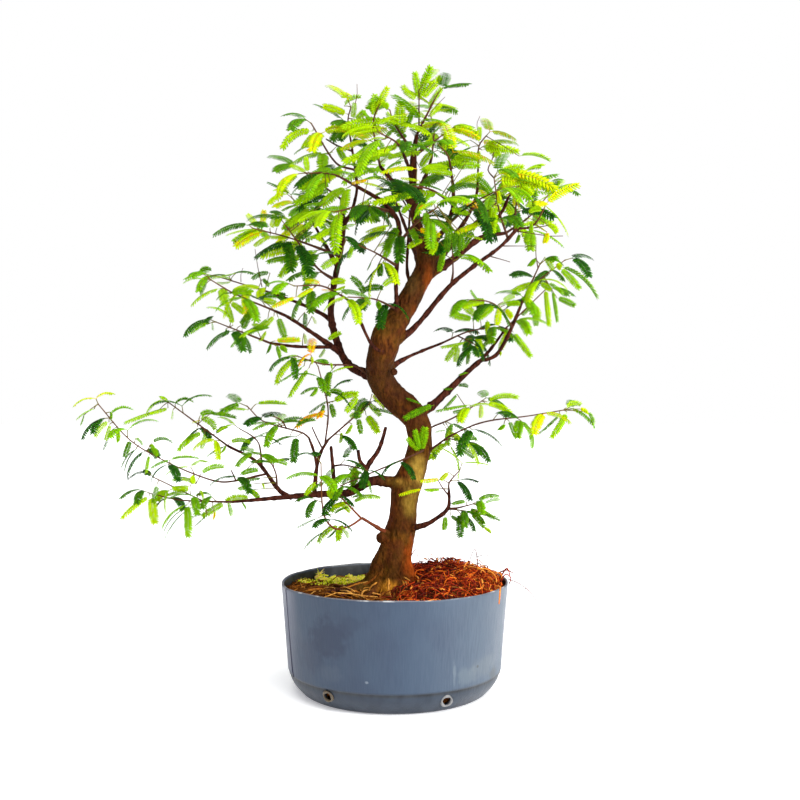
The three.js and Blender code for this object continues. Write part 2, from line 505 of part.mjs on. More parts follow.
// One feather of a leaf: its rib leaves the stalk's end to one side and bends down along an arc.
function featherShape(leaf, side, grow) {
  const flat = new THREE.Vector3().crossVectors(leaf.out, leaf.up).normalize();
  const ahead = leaf.out.clone().multiplyScalar(Math.cos(leaf.spread));
  ahead.addScaledVector(flat, side * Math.sin(leaf.spread)).normalize();
  const down = new THREE.Vector3(0, 0, -1).addScaledVector(ahead, ahead.z);
  if (down.length() < 0.05) down.set(0.3, 0.2, 0); // a feather that points straight down
  down.normalize();
  const width = new THREE.Vector3().crossVectors(ahead, down);
  const stalkEnd = leaf.foot.clone().addScaledVector(leaf.out, stalkLength);
  const ribPoint = (along) => {
    const turn = leaf.droop * along;
    const reach = (leaf.length * along) / Math.max(turn, 1e-6);
    return stalkEnd.clone()
      .addScaledVector(ahead, reach * Math.sin(turn))
      .addScaledVector(down, reach * (1 - Math.cos(turn)));
  };
  const faceUp = (along) =>
    down.clone()
      .multiplyScalar(-Math.cos(leaf.droop * along))
      .addScaledVector(ahead, Math.sin(leaf.droop * along));
  const edgePoint = (along, reach, sideways) =>
    ribPoint(along)
      .addScaledVector(width, sideways * reach * (leaf.halfWidth + grow) * Math.cos(leaf.roll))
      .addScaledVector(faceUp(along), sideways * reach * leaf.halfWidth * Math.sin(leaf.roll));
  return {
    outer: featherEdge.map(([along, reach]) => edgePoint(along, reach, -side)),
    inner: featherEdge.map(([along, reach]) => edgePoint(along, reach, side)).reverse(),
    tip: ribPoint(1 + grow / leaf.length),
    middle: ribPoint(featherMiddle),
    faceUp: faceUp(featherMiddle),
  };
}

// A leaf is one thin closed blade: up one feather's outer edge, down its inner edge to the fork, and round
// the other feather. Each face is a fan round the middle of each feather, alike above and below.
function leafSolid(leaf, grow = 0) {
  const half = featherThickness / 2 + grow;
  const stalkEnd = leaf.foot.clone().addScaledVector(leaf.out, stalkLength);
  const fork = leaf.foot.clone().addScaledVector(leaf.out, stalkLength + forkAhead);
  const left = featherShape(leaf, 1, grow);
  const right = featherShape(leaf, -1, grow);
  const leftEdge = [...left.outer, left.tip, ...left.inner];
  const rightEdge = [...right.outer, right.tip, ...right.inner].reverse();
  const points = [...leftEdge, fork, ...rightEdge, leaf.foot.clone()];
  const outline = points.map((_, i) => i);
  const forkIndex = leftEdge.length;
  const foot = points.length - 1;
  const triangles = [];
  for (const face of [1, -1]) {
    const stalkFace = points.length;
    points.push(stalkEnd.clone().addScaledVector(leaf.up, (face * half) / leaf.up.length()));
    const edges = [outline.slice(0, forkIndex + 1), outline.slice(forkIndex, foot)];
    const made = [[foot, 0, stalkFace], [foot - 1, foot, stalkFace]];
    [left, right].forEach((feather, f) => {
      const middle = points.length;
      points.push(feather.middle.clone().addScaledVector(feather.faceUp, face * half));
      const round = [...edges[f], stalkFace];
      round.forEach((a, i) => made.push([a, round[(i + 1) % round.length], middle]));
    });
    made.forEach(([a, b, c]) => triangles.push(...(face > 0 ? [a, b, c] : [b, a, c])));
  }
  const blade = toSolid(meshGeometry(points, triangles));
  return blade.volume() > 0 ? blade : toSolid(meshGeometry(points, triangles.reverse()));
}

function lengthsAlong(points) {
  const lengths = [0];
  for (let i = 1; i < points.length; i++) {
    lengths.push(lengths[i - 1] + points[i].distanceTo(points[i - 1]));
  }
  return lengths;
}

// Where each leaf of a route stands and how it is held: turned round the twig by the golden angle, with
// the last one at its tip.
function leavesAlong(route, { size, hang, bare }, seed) {
  const points = route.map(fromSheet);
  const lengths = lengthsAlong(points);
  const total = lengths[lengths.length - 1];
  const leaves = [];
  const count = Math.max(1, Math.round((total * (1 - bare)) / leafSpacing));
  for (let n = 0; n <= count; n++) {
    const random = randomRun(seed * 97 + n);
    const uneven = n < count ? 0.3 * random() : 0;
    const at = Math.min(total * (bare + ((1 - bare) * (n + uneven)) / count), total - 0.5);
    let span = 0;
    while (span < lengths.length - 2 && lengths[span + 1] < at) span++;
    const share = (at - lengths[span]) / (lengths[span + 1] - lengths[span]);
    const foot = points[span].clone().lerp(points[span + 1], share);
    const along = new THREE.Vector3().subVectors(points[span + 1], points[span]).normalize();
    const level = new THREE.Vector3().crossVectors(along, new THREE.Vector3(0, 0, 1));
    if (level.length() < 0.2) level.set(1, 0, 0);
    level.normalize();
    const upright = new THREE.Vector3().crossVectors(level, along);
    const turn = n * goldenAngle + seed + 0.7 * (random() - 0.5);
    const out = level.multiplyScalar(Math.cos(turn)).addScaledVector(upright, 0.5 * Math.sin(turn));
    out.addScaledVector(along, n === count ? 1.2 : 0.45);
    out.z += 0.1 - 0.25 * hang;
    out.normalize();
    const up = new THREE.Vector3(random() - 0.5, 0.9 * random() - 0.75, 1);
    leaves.push({
      foot,
      out,
      up,
      spread: 0.68 + 0.3 * random(),
      droop: 0.25 + 1.15 * hang + 0.35 * random(),
      length: featherLength * size * (0.82 + 0.36 * random()) * (n === count ? 0.85 : 1),
      halfWidth: featherHalfWidth * size,
      roll: 1.1 * (random() - 0.5),
    });
  }
  return leaves;
}

// What is already in place, so that a new leaf can be bent clear of it.
const standing = [];

function remember(solid, owner) {
  standing.push({ solid, owner, box: solid.boundingBox() });
}

function isClear(solid, ownTwig) {
  const box = solid.boundingBox();
  return !standing.some(
    (other) =>
      other.owner !== ownTwig &&
      [0, 1, 2].every((k) => box.min[k] < other.box.max[k] && box.max[k] > other.box.min[k]) &&
      solid.intersect(other.solid).volume() > 0,
  );
}

function bentLeaf(leaf, [turn, lift]) {
  const out = leaf.out.clone().applyAxisAngle(new THREE.Vector3(0, 0, 1), turn);
  out.z += lift;
  return { ...leaf, out: out.normalize() };
}

function buildLeafyTwig(name, order) {
  const settings = leafyTwigs[name];
  const pieces = settings.routes.map((route) => routeSolid(route, 3));
  settings.routes.forEach((route, r) => {
    leavesAlong(route, settings, order * 7 + r + 1).forEach((leaf, n) => {
      const bend = leafBends.find((b) => isClear(leafSolid(bentLeaf(leaf, b), gap), name));
      if (!bend) return;
      const blade = leafSolid(bentLeaf(leaf, bend));
      pieces.push(blade);
      remember(blade, [name, r, n].join(" "));
    });
  });
  return joined(pieces);
}

const tree = new THREE.Group();

function addNode(name, solid, colour, roughness) {
  const look = { color: colour, roughness, metalness: 0, flatShading: true };
  const material = new THREE.MeshStandardMaterial(look);
  const mesh = new THREE.Mesh(toGeometry(solid.asOriginal().simplify(finestEdge)), material);
  mesh.name = name;
  tree.add(mesh);
}

const pot = buildPot();
const wood = joined(woodPieces(0));
const woodSpace = woodPieces(gap);
const soil = mainBody(buildSoilBlock().subtract(joined(woodSpace)));
remember(pot, "pot");
remember(soil, "soil");
woodSpace.forEach((piece) => remember(piece, "wood"));

addNode("pot", pot, colours.pot, 0.55);
addNode("soil", soil, colours.soil, 0.95);
addNode("trunk", wood, colours.wood, 0.85);

const names = Object.keys(leafyTwigs);
const woodHole = joined(woodSpace);
names.forEach((name) =>
  leafyTwigs[name].routes.forEach((route) => remember(routeSolid(route, 4, gap), name)));
names.forEach((name, i) => {
  const twig = mainBody(buildLeafyTwig(name, i + 1).subtract(woodHole));
  addNode("twig_" + name, twig, colours.leaf, 0.6);
});

export default tree;
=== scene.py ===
import math

import bmesh
import bpy
import numpy as np
from mathutils import Matrix, Vector, bvhtree, kdtree, noise


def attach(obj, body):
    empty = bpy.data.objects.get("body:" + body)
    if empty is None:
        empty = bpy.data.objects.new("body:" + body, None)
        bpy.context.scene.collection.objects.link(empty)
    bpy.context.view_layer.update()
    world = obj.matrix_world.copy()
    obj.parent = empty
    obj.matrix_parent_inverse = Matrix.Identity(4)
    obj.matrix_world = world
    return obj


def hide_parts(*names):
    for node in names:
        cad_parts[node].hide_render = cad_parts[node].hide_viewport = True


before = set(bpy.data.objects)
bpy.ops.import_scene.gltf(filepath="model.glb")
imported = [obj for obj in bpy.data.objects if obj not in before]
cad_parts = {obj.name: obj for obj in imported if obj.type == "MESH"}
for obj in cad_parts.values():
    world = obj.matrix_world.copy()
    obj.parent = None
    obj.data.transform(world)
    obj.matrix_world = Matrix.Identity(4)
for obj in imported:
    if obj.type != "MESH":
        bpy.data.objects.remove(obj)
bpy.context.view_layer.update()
print("frame loaded with", len(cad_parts), "nodes")

mm = 0.001
upward = Vector((0, 0, 1))


def inScene(name, data):
    thing = bpy.data.objects.new(name, data)
    bpy.context.scene.collection.objects.link(thing)
    return thing


# The camera looks level along +Y. The routes below are read off its picture: [across, down, depth, radius],
# across and down in the picture's own units and depth and radius in mm, as in the part's source.
sheet = {"distance": 1150, "focal": 1038, "middle": 400, "eyeX": 6, "eyeZ": 318, "sensor": 36}

camera = inScene("camera", bpy.data.cameras.new("camera"))
camera.data.sensor_width = sheet["sensor"]
camera.data.lens = sheet["sensor"] * sheet["focal"] / (2 * sheet["middle"])
camera.location = (sheet["eyeX"] * mm, -sheet["distance"] * mm, sheet["eyeZ"] * mm)
camera.rotation_euler = (math.radians(90), 0, 0)
bpy.context.scene.camera = camera


trunkRoute = [
    [385,614,-16,24], [386,600,-16,26], [388,586,-16,25.5], [391,570,-16,22], [395,553,-15,18.5],
    [399,538,-13,17.2], [402,522,-11,15.2], [403,505,-8,14.8], [405,490,-5,16], [411,476,-2,15],
    [417,460,2,13.8], [420,442,5,12.8], [417,424,6,14], [409,411,5,15], [397,400,2,14.6], [387,389,-2,14],
    [380,376,-6,14.6], [380,362,-11,15], [383,349,-15,15.8], [386,338,-16,16.2], [392,326,-14,15.2],
    [401,313,-9,13], [410,299,-4,12], [417,285,0,11.8], [424,271,3,11.2], [426,258,4,10.2], [423,247,4,8.4],
    [419,232,3,6], [415,212,0,5], [413,190,-3,4.4], [413,168,-5,4.2], [414,152,-6,3.6], [417,134,-7,2],
]

# Each bough starts inside the wood that it grows from.
boughRoutes = {
    "lowLeft": [[402,486,-3,9], [390,482,-5,6.5], [372,481,-10,5.4], [350,492,-18,5], [338,494,-20,4.6],
        [322,494,-22,3.8], [232,502,-34,1.5]],
    "lowLeftRiser": [[292,498,-26,2.8], [280,491,-22,2.8], [257,462,-6,1.9], [228,446,6,1.4]],
    "forkedStub": [[368,482,-10,4], [366,470,-9,3], [379,449,-5,2.5], [386,427,-2,1.9]],
    "shortStub": [[366,468,-9,2.4], [360,461,-10,2.2], [358,450,-11,2.1]],
    "uprightStub": [[335,493,-20,3], [331,446,-17,1.6]],
    "lowLeftUpright": [[314,495,-23,3], [317,466,-12,2], [321,452,-6,1.9], [328,440,0,1.6]],
    "lowLeftUprightFork": [[317,468,-13,1.8], [314,452,-14,1.6], [309,438,-16,1.3]],
    "knobShoot": [[394,537,-16,5], [380,529,-27,2.1], [362,518,-38,1.6]],
    "lowRight": [[404,530,-18,5], [424,525,-28,2.8], [434,520,-31,2.5], [448,508,-34,2.2],
        [449,490,-33,1.4]],
    "rightFork": [[412,414,8,9], [426,410,12,5.4], [436,402,15,4.6], [480,361,23,2.7], [489,359,22,2.3],
        [498,353,20,2.2], [511,329,13,2.2], [521,305,7,1.7]],
    "rightForkBack": [[479,362,23,2.2], [490,350,31,1.9], [506,328,42,1.2]],
    "midRight": [[386,370,-4,5], [408,357,6,1.9], [442,343,19,1.5]],
    "upperMidRight": [[394,342,-14,6], [413,329,-17,3.1], [449,287,-28,2.7], [474,266,-33,2.3],
        [500,247,-34,1.9], [518,228,-30,2.2]],
    "upperRight": [[424,274,4,9], [436,270,7,5.4], [448,263,11,4.6], [481,238,24,3.2], [506,233,32,2]],
    "upperRightStub": [[482,239,24,2.6], [503,210,6,1.9], [508,198,2,1.6]],
    "frontUpright": [[398,320,-14,4], [397,308,-22,2.6], [396,278,-30,2.3], [399,245,-33,2.6],
        [399,230,-33,2.9], [397,219,-32,3], [381,201,-28,2.4], [358,187,-24,1.9]],
    "backUpright": [[413,289,6,3], [408,276,16,2], [407,262,21,1.7], [410,212,30,1.3]],
    "leftBough": [[384,382,0,11], [371,376,6,6.5], [350,366,12,5], [342,355,15,4.6], [337,342,17,4.4],
        [331,316,19,4], [334,284,21,3.6], [341,250,22,3], [345,223,21,2.6], [351,213,18,2],
        [355,200,15,1.8], [357,186,12,1.6], [352,148,8,1.4]],
    "leftBoughFork": [[345,226,21,2.4], [341,199,31,1.5]],
    "leftArmLow": [[341,353,15,4], [311,332,-10,2.2], [288,317,-24,1.8], [275,311,-30,1.5]],
    "leftArmFront": [[333,347,8,2.6], [324,347,-4,2], [310,347,-14,1.8], [290,346,-24,1.7],
        [270,343,-32,1.5]],
    "leftArmBack": [[332,321,19,3.4], [322,314,26,2.3], [301,304,40,1.9], [272,293,50,1.4]],
    "redShoot": [[388,352,-24,3.4], [378,350,-32,1.9], [370,342,-37,1.8], [352,304,-50,1.5],
        [344,297,-54,1.4]],
    "crownFrontRight": [[425,262,4,6], [434,244,-6,3.4], [446,226,-16,2.8], [453,206,-24,2.2],
        [453,184,-28,1.9]],
    "crownBackRight": [[428,266,5,5], [460,228,30,2.5], [471,210,38,2.1], [477,192,44,1.7],
        [478,172,46,1.4]],
    "crownLeft": [[414,207,-1,4], [380,166,-24,1.7]],
    "crownBack": [[414,202,0,4], [428,170,42,2], [432,156,60,1.6]],
    "crownFront": [[413,188,-3,3.6], [410,172,-26,2.2], [402,150,-66,1.5]],
    "leftBack": [[338,268,22,3], [316,228,90,1.6]],
    "highBack": [[420,282,4,7], [418,262,34,3.2], [412,244,62,2.5], [405,226,84,2], [398,208,100,1.7]],
    "rightBack": [[428,272,6,6], [446,252,44,2.8], [462,236,74,2.3], [478,220,96,1.8]],
}

# Each leafy twig is a node: the size of its leaves, how far they hang (0 level, 1 straight down), the bare
# share of each route before the first leaf, and one or more routes.
leafyTwigs = {
    "lowLeftTip": (0.8, 0.75, 0.1, [[232,502,-34,1.5], [180,500,-40,0.9], [149,493,-42,0.7]],
        [[203,501,-38,1], [153,477,-52,0.7]]),
    "longDroopingTip": (0.8, 0.8, 0.12, [[266,474,-12,1.7], [226,482,-38,1.2], [205,478,-48,1],
        [165,461,-62,0.8], [130,440,-70,0.8], [98,404,-74,0.7]]),
    "lowLeftRiserTip": (0.8, 0.7, 0.05, [[228,446,6,1.4], [168,402,24,0.7]]),
    "lowLeftRiserSide": (0.8, 0.4, 0.2, [[262,467,-8,1.6], [259,444,4,1.1], [252,436,10,0.9],
        [240,429,16,0.7]]),
    "lowLeftUprightLeft": (0.8, 0.3, 0.1, [[309,438,-16,1.3], [303,433,-20,1.2], [263,421,-33,0.8],
        [247,406,-41,0.7]], [[287,429,-25,0.9], [281,420,-36,0.8], [270,415,-46,0.7]]),
    "lowLeftUprightRight": (0.8, 0.45, 0.15, [[328,440,0,1.6], [369,404,24,0.7]]),
    "lowLeftUprightMiddle": (0.8, 0.55, 0.3, [[325,445,-4,1.4], [328,408,-14,1], [318,366,-30,0.7]]),
    "knobShootTips": (0.8, 0.65, 0.15, [[362,518,-38,1.6], [350,526,-46,1.3], [336,529,-54,1.2],
        [326,520,-60,1.1], [322,502,-64,1], [321,463,-67,0.7]], [[361,518,-39,1.4], [331,487,-51,0.8]]),
    "lowLeftInner": (0.8, 0.4, 0.4, [[277,488,-20,1.6], [276,474,-32,1], [271,463,-42,0.8],
        [263,456,-50,0.7]]),
    "stubTwig": (0.8, 0.6, 0.15, [[333,466,-18,1.5], [344,465,-26,1], [366,470,-42,0.7]]),
    "twigAcrossTrunk": (0.8, 0.6, 0.35, [[424,448,0,3], [420,452,-16,1.3], [340,486,-48,0.7]]),
    "rightLong": (0.95, 0.65, 0.2, [[427,452,1,3], [433,448,-4,1.6], [452,435,-16,1.2], [484,422,-27,1],
        [528,416,-36,0.8], [564,410,-40,0.7]], [[442,441,-11,1], [452,439,-4,0.8], [462,441,4,0.7]]),
    "rightShort": (0.95, 0.5, 0.3, [[422,432,8,2.6], [432,427,12,1.3], [453,418,15,1], [482,401,13,0.7]]),
    "lowRightTips": (0.8, 0.6, 0.15, [[447,509,-34,2], [457,508,-38,1.2], [473,504,-44,0.7]],
        [[451,509,-35,1.1], [473,512,-22,0.7]]),
    "lowRightTop": (0.8, 0.3, 0.3, [[449,490,-33,1.4], [449,483,-32,1.1], [460,470,-27,0.7]]),
    "rightForkTop": (0.95, 0.7, 0.1, [[521,305,7,1.7], [540,264,-4,0.8]], [[530,287,3,1.1],
        [565,260,22,0.7]]),
    "rightForkBackTip": (0.95, 0.6, 0.1, [[506,328,42,1.2], [545,290,62,0.7]]),
    "rightForkInner": (0.95, 0.55, 0.1, [[512,327,12,1.8], [497,306,-10,0.9], [486,301,-20,0.8],
        [474,300,-28,0.7]]),
    "midRightTip": (0.95, 0.6, 0.1, [[442,343,19,1.5], [470,331,29,1], [500,327,38,0.7]], [[458,336,25,1],
        [478,346,8,0.7]]),
    "upperMidRightUpright": (1.1, 0.5, 0.35, [[451,285,-28,2], [453,272,-32,1.1], [451,226,-46,0.7]]),
    "upperMidRightTip": (1.1, 0.35, 0.1, [[518,228,-30,2], [527,228,-34,1.4], [535,224,-38,1.2],
        [544,209,-43,0.7]]),
    "upperMidRightRiser": (1.1, 0.5, 0.25, [[508,239,-32,1.7], [499,210,-40,1], [494,178,-46,0.7]]),
    "rightRim": (1.1, 0.4, 0.3, [[514,231,-31,1.6], [517,200,-18,1], [526,176,-6,0.7]]),
    "upperRightTip": (1.1, 0.4, 0.1, [[506,233,32,1.8], [530,216,48,1.1], [549,194,60,0.7]]),
    "leaderTop": (1.1, 0.05, 0.1, [[417,134,-7,2], [438,93,-11,0.8]], [[419,129,-8,1.3], [419,90,-22,0.7]]),
    "leaderLeft": (1.1, 0.25, 0.1, [[414,154,-6,2.4], [393,121,-25,0.9], [390,110,-29,0.7]]),
    "leaderRight": (1.1, 0.3, 0.15, [[414,156,-5,2.4], [428,146,4,1.2], [449,130,19,0.7]]),
    "topLeft": (1.1, 0.15, 0.05, [[352,148,8,1.4], [348,120,0,1], [351,107,-4,0.8]]),
    "topMiddle": (1.1, 0.2, 0.05, [[380,166,-24,1.7], [374,134,-36,1.2], [374,118,-40,1],
        [380,104,-44,0.8]]),
    "topLeftLong": (1.1, 0.4, 0.1, [[355,170,10,1.5], [336,163,-4,1.2], [311,123,-20,0.8]]),
    "leftUpper": (1.1, 0.4, 0.05, [[341,199,31,1.5], [300,169,50,0.7]]),
    "frontLeftUpper": (1.1, 0.45, 0.05, [[358,187,-24,1.9], [332,174,-44,1.2], [305,173,-62,0.8]]),
    "farLeft": (1.1, 0.35, 0.2, [[340,256,22,2.4], [290,238,-24,1], [252,228,-47,0.7]]),
    "leftFront": (1.1, 0.45, 0.2, [[335,280,20,2.8], [322,272,2,1.4], [313,263,-12,1.3], [297,241,-36,1],
        [286,226,-46,0.8]]),
    "leftArmLowTip": (0.95, 0.55, 0.05, [[275,311,-30,1.5], [235,294,-47,1], [211,280,-55,0.7]]),
    "leftArmFrontTip": (0.95, 0.6, 0.05, [[270,343,-32,1.5], [216,322,-52,0.7]]),
    "leftArmBackTip": (0.95, 0.5, 0.05, [[272,293,50,1.4], [216,276,66,0.7]]),
    "redShootTip": (0.95, 0.5, 0.05, [[344,297,-54,1.4], [322,286,-66,1.1], [294,286,-77,0.7]]),
    "thinLeft": (0.95, 0.75, 0.25, [[396,309,-20,2], [374,299,-44,1], [348,297,-62,0.7]]),
    "frontUprightSide": (0.95, 0.7, 0.25, [[397,266,-32,2], [374,252,-54,1], [346,240,-73,0.7]]),
    "lowLeftHanging": (0.8, 0.85, 0.4, [[370,375,4,3], [354,366,-8,1.2], [322,364,-28,0.9],
        [297,356,-44,0.7]]),
    "crownRightFront": (1.1, 0.35, 0.05, [[453,184,-28,1.9], [448,156,-44,1.1], [440,146,-52,0.8]]),
    "crownRightBack": (1.1, 0.4, 0.05, [[478,172,46,1.4], [479,146,38,1], [486,136,34,0.8]]),
    "crownRight": (1.1, 0.5, 0.05, [[508,198,2,1.5], [516,188,4,1.2], [527,182,8,0.8]]),
    "crownRightLow": (1.1, 0.6, 0.15, [[446,226,-16,2.4], [470,205,-52,1.2], [494,192,-82,0.8]]),
    "crownBackTip": (1.1, 0.3, 0.05, [[432,156,60,1.6], [434,128,82,1], [430,114,90,0.8]]),
    "crownFrontTip": (1.1, 0.4, 0.05, [[402,150,-66,1.5], [396,142,-80,1.2], [378,132,-102,0.8]]),
    "leftBackTip": (1.1, 0.5, 0.05, [[316,228,90,1.6], [300,206,116,1], [292,198,124,0.8]]),
    "highBackTip": (1.1, 0.45, 0.05, [[398,208,100,1.7], [386,176,126,1], [378,160,134,0.8]]),
    "rightBackTip": (1.1, 0.5, 0.05, [[478,220,96,1.8], [490,208,112,1.4], [514,190,132,0.8]]),
    "crownFrontMiddle": (1.1, 0.6, 0.15, [[399,243,-33,2.4], [418,221,-70,1.2], [438,207,-98,0.8]]),
    "crownFrontLeft": (1.1, 0.6, 0.1, [[389,211,-30,2.4], [362,206,-64,1.2], [335,212,-90,0.8]]),
    "leftBackLow": (1.1, 0.5, 0.1, [[343,234,22,2.4], [322,218,48,1.2], [298,207,66,0.8]]),
    "crownFrontHigh": (1.1, 0.45, 0.1, [[453,204,-24,2], [429,189,-60,1.2], [403,186,-90,0.8]]),
    "crownBackRightTip": (1.1, 0.5, 0.1, [[471,210,38,2], [486,200,54,1.4], [512,179,76,0.8]]),
    "backUprightTip": (1.1, 0.5, 0.05, [[410,212,30,1.3], [396,190,50,1], [386,182,58,0.8]]),
}


# Shared arithmetic

def smoothStep(low, high, value):
    t = min(1, max(0, (value - low) / (high - low)))
    return t * t * (3 - 2 * t)


def smoothDown(high, low, value):  # 1 at low, falling to 0 at high
    return 1 - smoothStep(low, high, value)


def randomRun(seed):  # numbers from 0 to 1, the same each time for the same seed, as in the part's source
    state = (seed * 2654435761 + 12345) & 0xFFFFFFFF

    def draw():
        nonlocal state
        state = (state * 1664525 + 1013904223) & 0xFFFFFFFF
        return state / 4294967296
    return draw


def between(random, low, high):
    return low + (high - low) * random()


def anywhereWithin(random, reach):  # a place round the pot's middle, and how far out it is
    turn = 2 * math.pi * random()
    out = reach * math.sqrt(random())
    return out * math.cos(turn), out * math.sin(turn), out


def fromSheet(station):
    scale = (sheet["distance"] + station[2]) / sheet["focal"]
    return Vector((sheet["eyeX"] + (station[0] - sheet["middle"]) * scale,
                   station[2],
                   sheet["eyeZ"] + (sheet["middle"] - station[1]) * scale)) * mm


def smoothRoute(points, radii, spacing):  # a curve through the points, with stations about a spacing apart
    ends = [points[0] * 2 - points[1], *points, points[-1] * 2 - points[-2]]
    made = []
    madeRadii = []
    for i in range(len(points) - 1):
        before, start, end, after = ends[i:i + 4]
        chord = (end - start).length
        leaving = (end - before) * (chord / (chord + (start - before).length))
        arriving = (after - start) * (chord / (chord + (after - end).length))
        steps = max(1, round(chord / spacing))
        for step in range(steps):
            t = step / steps
            made.append(start * (2 * t**3 - 3 * t**2 + 1) + leaving * (t**3 - 2 * t**2 + t)
                        + end * (3 * t**2 - 2 * t**3) + arriving * (t**3 - t**2))
            madeRadii.append(radii[i] + (radii[i + 1] - radii[i]) * t)
    return made + [points[-1]], madeRadii + [radii[-1]]


def routeStations(route, spacing, thickness=1):
    return smoothRoute([fromSheet(s) for s in route], [s[3] * mm * thickness for s in route], spacing)


# Shared modelling: small shapes are made on their own and poured into the piece, which keeps it quick

def newShape(*layers):
    bm = bmesh.new()
    for name in ("tone", *layers):
        bm.verts.layers.float.new(name)
    return bm


def meshOf(bm, name):
    mesh = bpy.data.meshes.new(name)
    bm.to_mesh(mesh)
    bm.free()
    return mesh


def withModifiers(holder, *helpers):  # the mesh as the holder's modifiers leave it
    mesh = bpy.data.meshes.new_from_object(holder.evaluated_get(bpy.context.evaluated_depsgraph_get()))
    for thing in (holder, *helpers):
        bpy.data.objects.remove(thing)
    return mesh


def valuesOf(items, name, width=1):
    values = np.empty(len(items) * width, np.float32)
    items.foreach_get(name, values)
    return values.reshape(-1, width) if width > 1 else values


def templateOf(shape):  # a shape that is poured many times, with its vertices as an array
    bmesh.ops.recalc_face_normals(shape, faces=shape.faces)
    mesh = meshOf(shape, "template")
    return {"mesh": mesh, "places": valuesOf(mesh.vertices, "co", 3),
            "tones": valuesOf(mesh.attributes["tone"].data, "value")}


def pourCopy(bm, template, places, tones):
    template["mesh"].vertices.foreach_set("co", places.astype(np.float32).ravel())
    template["mesh"].attributes["tone"].data.foreach_set("value", tones.astype(np.float32))
    bm.from_mesh(template["mesh"])


def pourPlaced(bm, template, place, tone):
    turned = template["places"] @ np.array(place.to_3x3()).T + np.array(place.translation)
    pourCopy(bm, template, turned, np.full(len(turned), tone))


def turnRound(bm, profile, steps):  # a closed shell from a profile of radius and height in mm
    verts = [bm.verts.new((r * mm, 0, z * mm)) for r, z in profile]
    edges = [bm.edges.new(pair) for pair in zip(verts, verts[1:])]
    bmesh.ops.spin(bm, geom=verts + edges, axis=(0, 0, 1), cent=(0, 0, 0), angle=2 * math.pi,
                   steps=steps, use_merge=True)
    bmesh.ops.remove_doubles(bm, verts=bm.verts, dist=0.02 * mm)


# A closed tube along the points; its tone runs from tone to toneEnd, and shaping moves its rings.
def sweep(bm, points, radii, sides, tone=0.5, toneEnd=None, material=0, shaping=None):
    shape = newShape(*("inside", "lip", "seam") if shaping else ())
    layer = shape.verts.layers.float["tone"]
    last = len(points) - 1
    tangents = [(points[min(i + 1, last)] - points[max(i - 1, 0)]).normalized() for i in range(last + 1)]
    across = Vector((0, 1, 0)).cross(tangents[0])
    if across.length < 0.1:
        across = Vector((1, 0, 0))
    rings = []
    before = Matrix.Identity(4)
    for i, point in enumerate(points):
        across = (across - tangents[i] * across.dot(tangents[i])).normalized()
        beside = tangents[i].cross(across)
        place = Matrix([axis * radii[i] for axis in (across, beside, tangents[i])]).transposed().to_4x4()
        place.translation = point
        if i == 0:
            verts = bmesh.ops.create_circle(shape, segments=sides, radius=1, cap_ends=True,
                                            matrix=place)["verts"]
            edges = shape.edges[:]
        else:
            made = bmesh.ops.extrude_edge_only(shape, edges=edges)["geom"]
            verts = [g for g in made if isinstance(g, bmesh.types.BMVert)]
            fresh = set(verts)
            edges = [g for g in made if isinstance(g, bmesh.types.BMEdge) and fresh.issuperset(g.verts)]
            move = place @ before.inverted()
            for v in verts:
                v.co = move @ v.co
        before = place
        for v in verts:
            v[layer] = tone if toneEnd is None else tone + (toneEnd - tone) * i / last
        rings.append((verts, point))
    bmesh.ops.contextual_create(shape, geom=edges)
    bmesh.ops.recalc_face_normals(shape, faces=shape.faces)
    for face in shape.faces:
        face.material_index = material
    if shaping:
        shaping(shape, rings)
    mesh = meshOf(shape, "poured")
    bm.from_mesh(mesh)
    bpy.data.meshes.remove(mesh)


def finishPiece(shape, name, materials, nodes=()):  # from a bmesh, or from a mesh that is ready
    mesh = meshOf(shape, name) if isinstance(shape, bmesh.types.BMesh) else shape
    for material in materials:
        mesh.materials.append(material)
    mesh.polygons.foreach_set("use_smooth", [True] * len(mesh.polygons))
    piece = inScene(name, mesh)
    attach(piece, "root")
    if nodes:
        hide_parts(*nodes)
    print(name, sum(len(p.vertices) - 2 for p in mesh.polygons), "triangles")
    return piece


# Materials: shared patterns are node groups, and each shader stays in its own material

def addNode(tree, kind, settings=None, **inputs):  # inputs by name, or by number as i0, i1 and so on
    node = tree.nodes.new("ShaderNode" + kind)
    for name, value in (settings or {}).items():
        setattr(node, name, value)
    for name, value in inputs.items():
        socket = node.inputs[int(name[1:])] if name[0] == "i" and name[1:].isdigit() else node.inputs[name]
        if isinstance(value, bpy.types.NodeSocket):
            tree.links.new(value, socket)
        else:
            socket.default_value = value
    return node


def arithmetic(tree, operation, *values, kind="Math", output=0):
    inputs = {"i" + str(n): value for n, value in enumerate(values)}
    return addNode(tree, kind, {"operation": operation}, **inputs).outputs[output]


def product(tree, mask, share):
    return arithmetic(tree, "MULTIPLY", mask, share)


def eased(tree, value, low, high, start=0.0, end=1.0):  # start at low, going smoothly to end at high
    return addNode(tree, "MapRange", {"interpolation_type": "SMOOTHSTEP"}, i0=value, i1=low, i2=high,
                   i3=start, i4=end).outputs[0]


def ranged(tree, value, start, end):  # start where the value is 0, end where it is 1
    return addNode(tree, "MapRange", i0=value, i3=start, i4=end).outputs[0]


def placeOn(tree):
    return addNode(tree, "TexCoord").outputs["Object"]


def attribute(tree, name):
    return addNode(tree, "Attribute", {"attribute_name": name}).outputs["Fac"]


